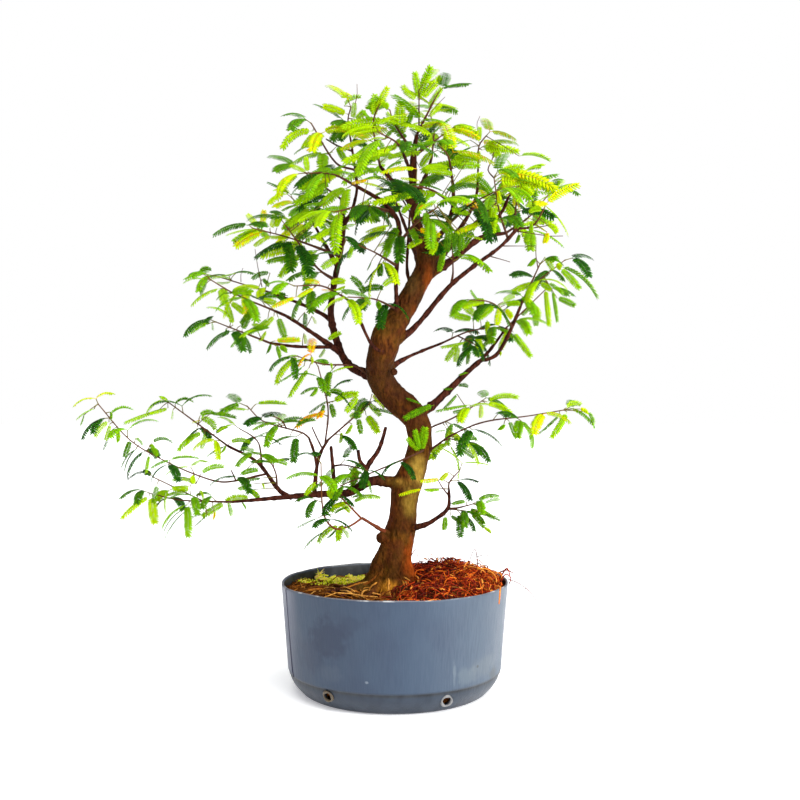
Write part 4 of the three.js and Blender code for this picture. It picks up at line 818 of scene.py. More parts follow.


# Feathers as they lie in the picture, by the twig or bough that carries them: from and to in the picture's
# units, visible width, how far they arch, and tone. An eighth number is the depth, where the root lies off
# the routes.
# Each tone is partly painted light and shade: lighter where a leaf is lit, darker where it lies in shadow.
picturedFeathers = {
    "leaderTop": [(419,100,431,66,9,1,0.62), (419,98,415,72,8,0,0.68), (417,99,403,85,9,-2,0.78),
        (422,99,441,77,9,1,0.78), (428,108,442,88,6,0,0.7), (429,117,442,104,6,0,0.8),
        (420,128,443,123,6,1,0.88), (416,108,408,125,7,2,0.4)],
    "leaderLeft": [(397,126,387,112,10,0,0.74), (400,130,401,101,13,1,0.72), (403,134,405,115,9,0,0.7),
        (396,128,386,138,9,2,0.5), (400,138,393,150,9,1,0.62), (409,146,401,152,4,1,0.2)],
    "leaderRight": [(446,133,443,151,7,0,0.76), (449,130,479,139,7,3,0.9), (450,129,478,134,6,3,0.8),
        (418,138,433,129,4,0,0.2), (424,150,419,139,6,0,0.6), (420,168,431,153,10,1,0.66)],
    "topMiddle": [(374,117,375,94,11,0,0.74), (376,108,388,87,8,0,0.84), (381,104,388,108,6,1,0.7),
        (385,121,341,128,11,3,0.7), (384,128,350,134,9,2,0.78), (372,120,362,110,9,0,0.5),
        (376,138,384,151,9,0,0.55), (386,139,368,141,4,3,0.75)],
    "topLeft": [(347,114,323,106,9,1,0.82), (353,119,355,103,7,0,0.68), (356,120,366,112,8,1,0.66),
        (348,121,332,141,12,1,0.22), (349,126,340,141,10,0,0.12), (351,140,366,146,8,1,0.12),
        (344,106,361,97,2,3,0.6)],
    "topLeftLong": [(313,131,282,149,9,7,0.76), (312,134,302,148,9,0,0.74), (324,143,304,144,7,-1,0.74),
        (314,146,294,154,3,3,0.35), (333,152,320,154,4,0,0.6), (337,146,345,160,9,0,0.5)],
    "frontLeftUpper": [(308,172,306,157,9,0,0.74), (306,172,290,165,6,1,0.76), (346,169,313,190,8,2,0.86),
        (333,170,311,176,8,3,0.5), (312,178,292,193,4,2,0.3), (318,180,300,187,8,1,0.66),
        (326,188,294,204,10,1,0.62), (330,182,308,197,8,1,0.56), (340,172,322,176,7,1,0.55)],
    "crownFrontTip": [(384,152,343,162,9,2,0.74), (396,146,372,160,8,2,0.6), (392,150,366,157,7,2,0.8)],
    "leftUpper": [(330,190,312,196,9,1,0.4), (326,184,310,186,8,1,0.3)],
    "crownFrontHigh": [(417,169,381,173,6,3,0.88), (420,181,401,178,5,1,0.85), (440,193,392,189,9,-2,0.68),
        (422,194,372,204,8,2,0.76), (466,162,421,171,8,2,0.64), (455,175,425,171,8,2,0.68),
        (453,188,483,174,7,2,0.76), (415,190,395,199,8,0,0.3)],
    "crownRightFront": [(450,168,425,168,8,2,0.7), (452,160,478,160,9,3,0.66), (455,168,480,166,8,2,0.6)],
    "crownRightBack": [(479,142,480,127,8,0,0.72), (482,142,499,147,8,2,0.91), (482,150,519,152,9,3,0.76),
        (478,150,479,163,8,0,0.84), (472,147,455,157,4,2,0.25), (470,140,451,146,4,1,0.6),
        (519,156,550,161,2,4,0.66)],
    "upperMidRightRiser": [(496,174,524,167,7,2,0.74), (500,174,557,191,11,7,0.88),
        (497,181,541,187,12,3,0.84), (520,186,532,195,9,1,0.82), (497,190,499,204,6,0,0.88),
        (494,205,492,233,12,0,0.68), (493,196,478,178,9,1,0.4)],
    "rightRim": [(514,192,515,206,7,0,0.9), (519,204,518,211,5,0,0.96)],
    "upperMidRightTip": [(529,214,541,209,5,2,0.7), (531,219,545,222,6,2,0.5), (546,224,557,233,6,2,0.82),
        (547,232,545,243,7,0,0.91), (530,224,531,233,5,0,0.6), (519,234,516,243,5,0,0.35)],
    "crownRightLow": [(464,203,480,207,6,1,0.97), (487,221,456,233,7,1,0.86), (478,226,452,238,7,1,0.7),
        (474,231,463,247,8,1,0.35), (470,214,452,210,9,1,0.62), (481,215,487,228,9,0,0.5)],
    "crownFrontMiddle": [(434,204,419,209,7,2,0.96), (418,230,440,236,6,1,0.95),
        (426,211,427,228,10,0,0.45), (409,226,417,243,10,1,0.4), (424,240,408,248,8,2,0.78),
        (437,240,431,254,11,0,0.74), (444,247,439,271,7,0,0.38), (448,231,447,252,8,0,0.3),
        (455,231,457,256,9,0,0.26), (461,233,461,250,8,0,0.32), (402,214,410,205,8,0,0.6)],
    "crownFrontLeft": [(371,201,352,213,8,1,0.72), (350,210,322,212,8,2,0.5), (342,219,330,226,9,1,0.82),
        (340,226,316,238,8,1,0.72), (356,225,341,229,9,2,0.6), (370,205,378,222,9,0,0.3),
        (388,226,364,240,7,1,0.78), (383,232,359,245,6,1,0.8), (368,180,352,183,5,1,1.0)],
    "frontUprightSide": [(392,225,366,232,5,2,0.8), (398,226,385,250,10,0,0.35), (391,240,385,257,12,0,0.5),
        (394,238,378,246,5,1,0.84), (380,262,380,276,8,0,0.2), (385,262,391,277,7,0,0.22),
        (377,268,365,283,3,1,0.2), (371,262,367,270,2,0,0.3), (352,245,348,258,10,0,0.6),
        (340,258,322,268,8,1,0.66)],
    "thinLeft": [(362,291,383,288,7,2,0.22), (383,287,397,279,6,2,0.7), (364,296,351,277,7,3,0.3),
        (364,297,370,305,7,0,0.66), (368,300,358,309,5,0,0.8), (376,302,380,308,5,0,0.45)],
    "farLeft": [(258,229,226,235,3,2,0.72), (262,229,264,210,8,0,0.91), (258,228,247,214,8,1,0.84),
        (270,228,275,213,10,-2,0.8), (277,228,281,217,8,1,0.75), (262,232,235,247,10,2,0.9),
        (270,236,254,246,7,1,0.8), (290,238,266,237,6,1,0.82)],
    "leftFront": [(305,246,274,248,8,3,0.76), (300,250,260,257,9,3,0.78), (297,256,280,262,8,1,0.5),
        (296,258,267,262,7,2,0.45), (300,262,279,277,8,2,0.64), (307,260,305,281,14,0,0.45),
        (316,213,289,226,9,4,0.66), (313,225,291,235,7,2,0.78), (313,232,298,239,6,1,0.25),
        (322,216,303,213,10,2,0.6), (325,203,304,206,6,1,0.5)],
    "leftArmBackTip": [(270,273,252,279,7,3,0.22), (262,279,269,286,10,0,0.3), (288,296,262,296,9,2,0.2),
        (276,295,284,300,9,0,0.22), (232,280,211,279,4,4,0.7), (232,281,217,282,5,-1,0.68),
        (236,273,221,276,2,0,0.6)],
    "leftArmLowTip": [(230,294,252,293,9,3,0.55), (226,292,216,300,3,1,0.4), (243,296,231,300,8,0,0.7),
        (230,303,243,313,9,1,0.7), (207,283,200,295,5,1,0.35), (204,279,183,283,4,3,0.6),
        (200,272,211,270,2,2,0.3), (268,318,249,334,5,0,0.6), (278,317,285,338,8,0,0.45),
        (274,316,262,328,8,0,0.76)],
    "leftArmFrontTip": [(208,324,190,333,7,3,0.5), (212,322,212,330,6,0,0.5), (226,329,224,336,4,0,0.35),
        (233,325,225,301,6,1,0.66), (231,320,207,307,4,5,0.7), (240,326,256,312,7,2,0.3),
        (242,330,250,312,8,0,0.35), (246,334,268,327,4,1,0.4), (244,336,231,347,5,2,0.5),
        (243,336,250,353,5,1,0.2), (266,331,259,341,7,0,0.78), (275,341,300,340,5,0,0.9),
        (270,344,267,353,4,0,0.3), (276,346,280,358,5,0,0.5), (279,347,287,351,5,0,0.6)],
    "redShootTip": [(320,284,305,281,9,2,0.91), (314,288,298,297,6,1,0.88), (296,297,272,307,6,1,0.9),
        (330,284,345,282,8,2,0.76), (345,286,334,290,6,0,0.7), (336,291,322,289,4,0,0.98)],
    "leftArmLow": [(262,300,276,303,6,0,0.7), (305,312,304,327,10,0,0.28), (312,316,315,324,8,0,0.8)],
    "leftArmFront": [(304,333,305,344,6,0,0.84), (325,348,319,357,8,0,0.6), (328,341,341,333,5,1,0.7)],
    "lowLeftHanging": [(300,357,276,384,7,5,0.74), (298,356,282,361,4,3,0.6), (309,368,289,397,6,1,0.66),
        (304,366,277,383,3,0,0.45), (311,357,312,364,8,0,0.85), (330,364,332,369,5,0,0.7),
        (355,366,332,372,3,2,0.75)],
    "lowLeftUprightMiddle": [(320,388,301,394,4,3,0.4), (317,388,311,396,6,0,0.55),
        (329,392,343,395,6,2,0.45), (327,401,309,413,4,1,0.3), (324,404,320,415,9,0,0.4),
        (330,403,334,417,9,0,0.35), (333,402,358,394,8,3,0.7), (358,396,346,412,10,0,0.72)],
    "lowLeftUprightRight": [(372,394,385,408,7,1,0.88), (368,404,380,416,8,1,0.6),
        (360,408,355,417,9,0,0.5), (358,418,361,434,11,0,0.4), (366,415,378,433,11,1,0.72),
        (352,424,346,434,10,0,0.74), (341,432,340,443,9,0,0.7), (372,410,392,414,2,1,0.3),
        (365,410,350,417,7,1,0.66)],
    "stubTwig": [(360,462,342,484,5,0,0.55), (348,468,360,474,6,0,0.6), (352,481,362,479,3,1,0.3)],
    "twigAcrossTrunk": [(421,451,425,427,11,0,0.52), (419,451,407,438,10,0,0.56),
        (420,451,415,430,7,0,0.5)],
    "lowRightTips": [(445,516,444,530,9,0,0.5), (450,516,462,524,5,0,0.35), (471,514,484,528,6,1,0.5),
        (474,514,500,521,2.5,2,0.35), (466,501,452,504,5,1,0.45), (484,504,500,500,2.5,1,0.5),
        (480,506,485,495,2,0,0.5), (484,528,491,533,4,0,0.8)],
    "lowRightTop": [(448,472,440,480,7,0,0.86), (440,479,420,481,5,0,0.9), (422,489,399,495,5,1,0.88),
        (440,489,425,490,4,0,0.6)],
    "rightLong": [(567,412,551,438,7,-1,0.62), (560,414,538,434,2.5,0,0.3), (566,408,581,405,6,3,0.75),
        (580,409,588,413,7,0,0.88), (588,412,593,425,2,1,0.5), (509,421,515,437,4,0,0.4),
        (504,424,499,430,5,0,0.5), (456,444,474,458,6,0,0.45), (459,444,484,449,2.5,1,0.35),
        (452,440,477,439,3,0,0.4), (432,452,436,458,6,0,0.35)],
    "rightShort": [(481,404,480,418,7,0,0.86), (486,404,511,414,7,3,0.76), (487,402,518,398,5,4,0.7),
        (470,405,436,411,5,1,0.55), (468,411,453,412,6,1,0.45), (463,412,461,423,6,0,0.78),
        (447,430,435,432,3,1,0.5), (450,430,446,436,6,0,0.8), (457,394,444,408,4,0,0.4)],
    "midRightTip": [(473,319,450,314,9,0,0.6), (480,318,463,305,10,0,0.68), (487,320,488,336,7,0,0.74),
        (478,334,480,357,11,0,0.72), (493,336,482,348,5,1,0.4), (466,342,441,347,4,0,0.66),
        (459,344,446,361,7,1,0.66), (458,346,455,362,7,0,0.7), (468,346,467,364,4,0,0.35)],
    "rightForkInner": [(487,301,463,307,9,2,0.7), (495,306,476,320,9,1,0.62), (500,306,497,325,9,0,0.86),
        (505,309,512,318,10,0,0.86), (503,302,515,296,10,1,0.7), (505,305,520,304,8,1,0.6),
        (478,300,471,290,6,0,0.5)],
    "rightForkTop": [(535,283,512,292,8,1,0.7), (540,283,551,290,10,0,0.7), (548,283,563,295,2.5,1,0.5),
        (545,288,549,326,6,0,0.74), (552,290,557,322,4,0,0.5), (557,298,575,306,7,1,0.4),
        (560,266,597,298,2.5,6,0.4), (560,268,580,289,8,1,0.62), (545,257,553,270,8,0,0.66),
        (535,258,529,266,6,0,0.5), (556,264,561,268,6,0,0.85)],
    "rightForkBackTip": [(536,306,536,326,10,0,0.45), (530,305,522,315,6,0,0.4), (513,332,531,357,7,0,0.66),
        (508,330,500,350,8,0,0.78)],
    "rightFork": [(434,405,404,419,8,1,0.36,-17), (421,404,406,398,4,1,0.3,-12), (458,386,468,387,6,1,0.25),
        (453,387,444,389,3,0,0.3), (468,372,459,375,4,1,0.4), (500,352,500,356,5,0,0.8)],
    "lowLeftTip": [(152,496,155,524,11,1,0.82), (150,496,121,519,6,2,0.8), (157,485,153,503,7,0,0.4),
        (195,505,164,540,2.5,5,0.3), (190,506,163,533,1.5,5,0.3), (225,503,202,517,8,1,0.62),
        (228,502,231,516,6,0,0.55), (214,512,213,520,7,0,0.95), (200,490,203,500,8,0,0.7),
        (190,490,172,488,6,1,0.74), (165,497,186,492,4,1,0.6), (206,513,187,519,2.5,1,0.3),
        (207,515,193,527,2,0,0.3)],
    "longDroopingTip": [(109,422,95,437,7,3,0.74), (110,424,105,440,9,0,0.72), (112,430,103,450,5,1,0.2),
        (117,430,118,442,8,0,0.6), (130,440,124,457,7,0,0.3), (137,448,124,472,2.5,3,0.2),
        (136,449,121,468,2,3,0.25), (135,438,142,446,8,1,0.5), (150,444,157,456,7,0,0.5),
        (149,455,146,473,5,1,0.6), (152,443,172,443,2.5,4,0.3), (111,414,133,410,2,4,0.5),
        (110,412,111,420,4,0,0.4), (94,409,76,420,3,2,0.6), (84,415,80,426,2,0,0.4),
        (170,460,151,468,4,2,0.45), (170,460,199,459,3,2,0.5), (201,474,224,467,5,3,0.55),
        (196,484,172,480,5,4,0.7), (195,484,192,476,8,0,0.8), (190,487,173,489,6,1,0.75)],
    "lowLeftRiserTip": [(173,410,171,419,6,0,0.75), (168,408,150,413,5,0,0.76), (158,411,124,423,5,1,0.68),
        (175,404,193,402,2,4,0.3), (200,420,192,422,5,0,0.9), (199,418,215,430,8,4,0.6),
        (200,416,213,413,6,2,0.45), (210,414,236,418,3,1,0.35), (203,432,178,451,7,3,0.6),
        (205,434,201,449,9,0,0.62), (196,434,187,438,6,1,0.4), (216,434,227,427,3,1,0.35),
        (225,446,221,453,6,0,0.6), (226,446,206,457,2.5,2,0.35), (230,443,250,443,5,3,0.6)],
    "lowLeftUprightLeft": [(248,410,220,409,4,2,0.62), (256,404,286,404,4,1,0.62),
        (282,421,303,419,2.5,1,0.3), (280,424,303,423,3,2,0.3), (276,417,264,417,3,2,0.3),
        (296,427,315,420,2.5,2,0.3), (290,436,276,440,2.5,1,0.3), (277,431,256,437,3,2,0.35)],
    "lowLeftInner": [(272,462,287,465,7,2,0.5), (240,475,258,470,6,1,0.45), (262,478,240,482,4,1,0.35),
        (252,484,238,489,7,0,0.5), (250,490,259,498,8,0,0.6), (262,484,264,489,6,0,0.8)],
    "lowLeft": [(250,499,226,501,9,2,0.7), (242,503,246,510,5,0,0.5), (358,486,357,498,6,0,0.5),
        (352,498,367,496,3,1,0.35)],
    "knobShootTips": [(316,482,305,495,8,1,0.74), (340,527,348,538,7,1,0.66), (336,529,327,538,3,0,0.3),
        (326,531,303,550,3,3,0.3), (318,518,296,528,2,1,0.3), (340,503,350,512,7,0,0.8),
        (333,500,328,490,6,0,0.7), (330,486,335,498,7,0,0.6), (345,505,330,505,5,0,0.85),
        (335,514,348,508,3,1,0.4), (322,514,331,517,3,1,0.35)],
}


# Leafy twigs: each leaf has a short stalk and two feathers of many leaflets, where the CAD blade is

# Turns and lifts that a blade of the solids can have, in the order in which they are tried
leafBends = [[0, 0], [0.3, 0], [-0.3, 0], [0, 0.35], [0, -0.35], [0.6, 0.2], [-0.6, 0.2], [0.4, -0.5],
             [-0.4, -0.5], [0.9, 0.4], [-0.9, 0.4]]
leafShape = {
    "spacing": 25 * mm, "stalk": 8 * mm, "feather": 40 * mm, "halfWidth": 6.6 * mm, "onBlade": 0.15 * mm,
}
leafHabit = {  # as in the part's source; two numbers are the least and what chance adds
    "goldenAngle": 2.39996, "uneven": 0.3, "turnSpread": 0.7, "upright": 0.5, "ahead": 0.45,
    "aheadAtTip": 1.2, "lift": 0.1, "sink": 0.25, "spread": (0.68, 0.3), "droop": (0.25, 0.35),
    "droopOfHang": 1.15, "length": (0.82, 0.36), "tipLength": 0.85, "roll": 1.1,
}
featherLook = {
    "pairs": 14, "youngPairs": 11, "leafletWidth": 2.75 * mm, "leafletThickness": 0.3 * mm, "lean": 68,
    "tipLean": 34, "tip": (0.72, 0.96), "leanSpread": 8, "tilt": 5, "tiltSpread": 6, "pitch": 4,
    "base": 0.08, "leafy": 0.87, "inset": 0.32, "cup": 1.3 * mm, "ribRadius": 0.42 * mm, "ribTone": 0.08,
    "stalkRadius": 0.5 * mm, "stalkTone": 0.66, "toneSpread": 0.13, "reachSpread": (0.94, 1.06),
    # Share of the half width that the leaflets reach, along the feather.
    "outline": ((0, 0.5), (0.1, 0.78), (0.3, 1.0), (0.55, 1.08), (0.75, 1.0), (0.86, 0.82), (0.94, 0.56),
                (1, 0.36)),
}
twigLook = {
    "sides": 6, "spacing": 5 * mm, "thickness": 0.9, "uneven": 0.18, "unevenScale": 300,
    "thinnest": 0.55 * mm, "tones": (0.05, 0.5), "redTones": (0.9, 0.8),
}


def featherTemplate(seed, pairs, segments, widen=1):  # flat and straight along X
    random = randomRun(seed)
    look = featherLook
    shape = newShape()
    layer = shape.verts.layers.float["tone"]
    length = leafShape["feather"]
    rib = [Vector((length * share, 0, 0)) for share in (0, 0.2, 0.4, 0.6, 0.8, 0.97)]
    sweep(shape, rib, [look["ribRadius"] * (1 - 0.1 * i) for i in range(len(rib))], 3, tone=look["ribTone"])
    for n in range(pairs):
        at = look["base"] + look["leafy"] * (n + 0.5) / pairs
        for side in (1, -1):
            lean = math.radians(look["lean"] - look["tipLean"] * smoothStep(*look["tip"], at)
                                + look["leanSpread"] * (random() - 0.5))
            reach = float(np.interp(at, *zip(*look["outline"])))
            reach *= leafShape["halfWidth"] * between(random, *look["reachSpread"])
            size = reach / (0.82 * max(0.72, math.sin(lean)))
            tilt = math.radians(side * look["tilt"] + look["tiltSpread"] * (random() - 0.5))
            place = (Matrix.Translation((at * length, 0, 0)) @ Matrix.Rotation(side * lean, 4, "Z")
                     @ Matrix.Rotation(tilt, 4, "X") @ Matrix.Rotation(math.radians(look["pitch"]), 4, "Y")
                     @ Matrix.Diagonal((size, look["leafletWidth"] * widen, look["leafletThickness"], 1))
                     @ Matrix.Translation((look["inset"], 0, 0)))
            made = bmesh.ops.create_uvsphere(shape, u_segments=segments, v_segments=2, radius=0.5,
                                             matrix=place)
            tone = look["toneSpread"] * (random() - 0.5)
            for v in made["verts"]:
                v[layer] = tone
    return templateOf(shape)


feathers = [featherTemplate(seed, featherLook["pairs"], 6) for seed in (11, 12, 13)]
youngFeathers = [featherTemplate(seed, featherLook["youngPairs"], 5, 1.25) for seed in (14, 15)]
print("feather templates made")


def featherFrame(leaf, side):
    flat = leaf["out"].cross(leaf["up"]).normalized()
    ahead = (leaf["out"] * math.cos(leaf["spread"]) + flat * side * math.sin(leaf["spread"])).normalized()
    down = -upward + ahead * ahead.z
    if down.length < 0.05:
        down = Vector((0.3, 0.2, 0))
    down.normalize()
    return ahead, down, ahead.cross(down), leaf["foot"] + leaf["out"] * leafShape["stalk"] * leaf["stalk"]


def featherTip(leaf, side):
    ahead, down, width, start = featherFrame(leaf, side)
    bend = leaf["length"] / leaf["droop"]
    return start + ahead * bend * math.sin(leaf["droop"]) + down * bend * (1 - math.cos(leaf["droop"]))


def layLeaflets(bm, template, rib, across, proud, halfWidth, tone):
    scale = halfWidth / leafShape["halfWidth"]
    reach = template["places"][:, 1] * scale
    cup = featherLook["cup"] * scale * (reach / halfWidth) ** 2
    lift = template["places"][:, 2] - cup
    places = rib + across * reach[:, None] + proud * lift[:, None]
    pourCopy(bm, template, places, np.clip(tone + template["tones"], 0, 1))


def rolled(sideways, face, roll):  # the two directions across a feather, turned about its rib
    return (sideways * math.cos(roll) + face * math.sin(roll),
            face * math.cos(roll) - sideways * math.sin(roll))


def addFeather(bm, leaf, side, template):  # the flat feather bent down along its arc and rolled on its rib
    ahead, down, width, start = (np.array(v) for v in featherFrame(leaf, side))
    along = template["places"][:, 0] / leafShape["feather"]
    turn = (leaf["droop"] * along)[:, None]
    bend = leaf["length"] / leaf["droop"]
    rib = start + ahead * bend * np.sin(turn) + down * bend * (1 - np.cos(turn))
    face = -down * np.cos(turn) + ahead * np.sin(turn)
    layLeaflets(bm, template, rib, *rolled(width, face, leaf["roll"]), leaf["halfWidth"], leaf["tone"])


def leavesAlong(route, size, hang, bare, seed, spacing):
    habit = leafHabit
    points = [fromSheet(s) for s in route]
    lengths = [0]
    for before, point in zip(points, points[1:]):
        lengths.append(lengths[-1] + (point - before).length)
    total = lengths[-1]
    count = max(1, math.floor(total * (1 - bare) / spacing + 0.5))
    leaves = []
    for n in range(count + 1):
        random = randomRun(seed[0] + n)
        atTip = n == count
        uneven = 0 if atTip else habit["uneven"] * random()
        at = min(total * (bare + (1 - bare) * (n + uneven) / count), total - 0.5 * mm)
        span = 0
        while span < len(lengths) - 2 and lengths[span + 1] < at:
            span += 1
        share = (at - lengths[span]) / (lengths[span + 1] - lengths[span])
        along = (points[span + 1] - points[span]).normalized()
        level = along.cross(upward)
        if level.length < 0.2:
            level = Vector((1, 0, 0))
        level.normalize()
        upright = level.cross(along)
        turn = n * habit["goldenAngle"] + seed[1] + habit["turnSpread"] * (random() - 0.5)
        out = level * math.cos(turn) + upright * habit["upright"] * math.sin(turn)
        out += along * (habit["aheadAtTip"] if atTip else habit["ahead"])
        out.z += habit["lift"] - habit["sink"] * hang
        up = Vector((random() - 0.5, 0.9 * random() - 0.75, 1))
        foot = points[span].lerp(points[span + 1], share)
        leaf = {"foot": foot, "out": out.normalized(), "up": up, "stalk": 1}
        leaf["spread"] = habit["spread"][0] + habit["spread"][1] * random()
        leaf["droop"] = habit["droop"][0] + habit["droopOfHang"] * hang + habit["droop"][1] * random()
        leaf["length"] = leafShape["feather"] * size * (habit["length"][0] + habit["length"][1] * random())
        leaf["length"] *= habit["tipLength"] if atTip else 1
        leaf["halfWidth"] = leafShape["halfWidth"] * size
        leaf["roll"] = habit["roll"] * (random() - 0.5)
        leaf["chance"] = random()
        leaves.append(leaf)
    return leaves


def asBuilt(leaf, solid):  # the leaf turned as its CAD blade is, or None where there is no blade
    for turn, lift in leafBends:
        out = Matrix.Rotation(turn, 3, "Z") @ leaf["out"]
        out.z += lift
        bent = {**leaf, "out": out.normalized()}
        if all(solid.find(featherTip(bent, side))[2] < leafShape["onBlade"] for side in (1, -1)):
            return bent
    return None


def cadPoints(node):
    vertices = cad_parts[node].data.vertices
    tree = kdtree.KDTree(len(vertices))
    for v in vertices:
        tree.insert(v.co, v.index)
    tree.balance()
    return tree


crownTones = {
    "base": 0.14, "middle": Vector((0.03, 0, 0.46)), "outside": 0.3, "outer": (0.06, 0.24), "top": 0.2,
    "heights": (0.35, 0.66), "spread": 0.9, "patches": 0.35, "patchScale": 14, "lowLeft": 0.12,
    "lowLeftFrom": (-0.02, -0.12, 0.3), "darkest": 0.03, "lightest": 0.88, "redOver": 0.995,
}


# Partly painted light and shade: lighter outside and on top where light falls, darker within and below, and
# a painted shade on the low left; the lime of young growth is the leaves' own colour.
def leafTone(leaf):  # lime outside and on top, darker within and below, and a few leaves red
    look = crownTones
    end = leaf["foot"] + leaf["out"] * leaf["length"]
    outside = smoothStep(*look["outer"], (end - look["middle"]).length)
    tone = look["base"] + look["outside"] * outside + look["top"] * smoothStep(*look["heights"], end.z)
    patch = look["patches"] * noise.noise(end * look["patchScale"])
    near, far, middle = look["lowLeftFrom"]
    inShade = look["lowLeft"] * smoothDown(near, far, end.x + end.z - middle)
    tone += look["spread"] * (leaf["chance"] - 0.5) + patch - inShade
    return 1 if leaf["chance"] > look["redOver"] else min(look["lightest"], max(look["darkest"], tone))


picturedLook = {
    "narrowest": 4.0 * mm, "slender": 0.2, "widen": 1.1, "longest": 26, "leanDepth": 16, "leanBack": 0.7,
    "stalk": 0.42 * mm, "stalkFoot": 1.4, "shortestStalk": 0.8 * mm, "faceTurn": (0.25, 0.35),
}


def nearestOnRoutes(routes, x, y):  # the point of a twig nearest to a place in the picture
    best = None
    for route in routes:
        for a, b in zip(route, route[1:]):
            for step in range(9):
                point = [a[k] + (b[k] - a[k]) * step / 8 for k in range(3)]
                distance = math.hypot(point[0] - x, point[1] - y)
                if best is None or distance < best[0]:
                    best = (distance, point)
    return best[1]


def unitRows(rows):
    return rows / np.linalg.norm(rows, axis=1)[:, None]


def layPictured(bm, routes, feather, random):
    look = picturedLook
    x0, y0, x1, y1, width, arch, tone, *front = feather
    root = (x0, y0, front[0]) if front else nearestOnRoutes(routes, x0, y0)
    depth = root[2]
    start = fromSheet((x0, y0, depth))
    end = fromSheet((x1, y1, depth + look["leanDepth"] * (random() - look["leanBack"])))
    chord = end - start
    rise = Vector((-chord.z, 0, chord.x)).normalized()
    if rise.z < 0 or (abs(rise.z) < 0.15 and rise.x > 0):
        rise = -rise
    middle = (start + end) / 2 + rise * 2 * arch * mm
    kind = feathers if chord.length > look["longest"] * mm else youngFeathers
    template = kind[int(random() * len(kind))]
    t = (template["places"][:, 0] / leafShape["feather"])[:, None]
    start, middle, end = (np.array(v) for v in (start, middle, end))
    rib = start * (1 - t) ** 2 + middle * 2 * t * (1 - t) + end * t ** 2
    ahead = unitRows((middle - start) * (1 - t) + (end - middle) * t)
    aside, lifted = look["faceTurn"]
    seen = unitRows(np.cross(np.array((aside * (random() - 0.5), -1, lifted * random())), ahead))
    visible = min(width / 2 * mm * look["widen"], look["slender"] * chord.length)
    halfWidth = max(visible, look["narrowest"])
    roll = math.acos(min(0.999, visible / halfWidth))  # a feather seen narrow is one that is turned edge on
    # The tone carries painted light and shade as well as the leaf's own colour.
    layLeaflets(bm, template, rib, *rolled(seen, np.cross(ahead, seen), roll), halfWidth, tone)
    stalk = [fromSheet(root), (fromSheet(root) + Vector(start)) / 2 + rise * 0.6 * mm, Vector(start)]
    if (stalk[2] - stalk[0]).length > look["shortestStalk"]:
        radius = look["stalk"]
        sweep(bm, stalk, [radius * look["stalkFoot"], radius, radius], 4, tone=featherLook["stalkTone"],
              material=1)


youngLook = {  # spacing by the size of the twig's leaves, and none on the low twigs
    "spacing": {0.95: 34 * mm, 1.1: 20 * mm}, "sizes": (0.6, 0.95), "droop": 0.55,
    "width": (0.15, 0.68), "lift": (-0.25, 0.6), "sideways": (-0.6, 0.6), "away": (-1.5, 0.2), "level": 0.8,
}
# Seeds: steps from twig to twig and leaf to leaf, what young leaves and their sizes add, and the feathers
seeds = {
    "spray": 7, "leaf": 97, "young": 50021, "youngRoute": 3, "youngSize": 7001, "pictured": (13, 5),
    "boughs": 401,
}


def youngLeaves(route, size, hang, bare, seed):
    look = youngLook
    random = randomRun(seed + seeds["youngSize"])
    seed += seeds["youngRoute"]
    own = (seed * seeds["leaf"] + seeds["young"], seed)
    for leaf in leavesAlong(route, size, hang, bare, own, look["spacing"][size]):
        young = between(random, *look["sizes"])
        leaf["length"] *= young
        leaf["halfWidth"] *= look["width"][0] + look["width"][1] * young
        leaf["stalk"] = young
        leaf["droop"] *= look["droop"]
        leaf["out"] = (leaf["out"] + Vector((0, 0, between(random, *look["lift"])))).normalized()
        leaf["up"] = Vector((between(random, *look["sideways"]), between(random, *look["away"]),
                             look["level"]))
        yield leaf


def addLeaf(bm, leaf, kinds, turn):
    leaf["tone"] = leafTone(leaf)
    stalk = leafShape["stalk"] * leaf["stalk"]
    radius = featherLook["stalkRadius"]
    points = [leaf["foot"], leaf["foot"] + leaf["out"] * stalk * 0.25, leaf["foot"] + leaf["out"] * stalk]
    sweep(bm, points, [radius * 1.7, radius, radius * 0.9], 4, tone=featherLook["stalkTone"], material=1)
    for side in (1, -1):
        addFeather(bm, leaf, side, kinds[(turn + (side > 0)) % len(kinds)])


def buildSpray(name, order):
    size, hang, bare, *routes = leafyTwigs[name]
    solid = cadPoints("twig_" + name)
    bm = newShape()
    built = 0
    for r, route in enumerate(routes):
        seed = order * seeds["spray"] + r + 1
        points, radii = routeStations(route, twigLook["spacing"], twigLook["thickness"])
        for i in range(1, len(points)):
            uneven = twigLook["uneven"] * noise.noise(points[i] * twigLook["unevenScale"])
            radii[i] = max(twigLook["thinnest"], radii[i] * (1 + uneven))
        tones = twigLook["redTones" if name in redShoots else "tones"]
        sweep(bm, points, radii, twigLook["sides"], tone=tones[0], toneEnd=tones[1], material=1)
        leaves = leavesAlong(route, size, hang, bare, (seed * seeds["leaf"], seed), leafShape["spacing"])
        leaves = [asBuilt(leaf, solid) for leaf in leaves]
        leaves = [(leaf, feathers) for leaf in leaves if leaf]
        built += len(leaves)
        if name not in picturedFeathers and size in youngLook["spacing"]:
            leaves += [(leaf, youngFeathers) for leaf in youngLeaves(route, size, hang, bare, seed)]
        for n, (leaf, kinds) in enumerate(leaves):
            addLeaf(bm, leaf, kinds, n)
    step, first = seeds["pictured"]
    random = randomRun(order * step + first)
    for feather in picturedFeathers.get(name, ()):
        layPictured(bm, routes, feather, random)
    finishPiece(bm, "leaves_" + name, [leafGreen, twigBark], ["twig_" + name])
    return built


def buildBoughLeaves():
    bm = newShape()
    random = randomRun(seeds["boughs"])
    for name, route in boughRoutes.items():
        for feather in picturedFeathers.get(name, ()):
            layPictured(bm, [route], feather, random)
    return finishPiece(bm, "leavesOnBoughs", [leafGreen, twigBark])


leafCount = sum(buildSpray(name, order) for order, name in enumerate(leafyTwigs, start=1))
buildBoughLeaves()
print("leaves on CAD blades:", leafCount)
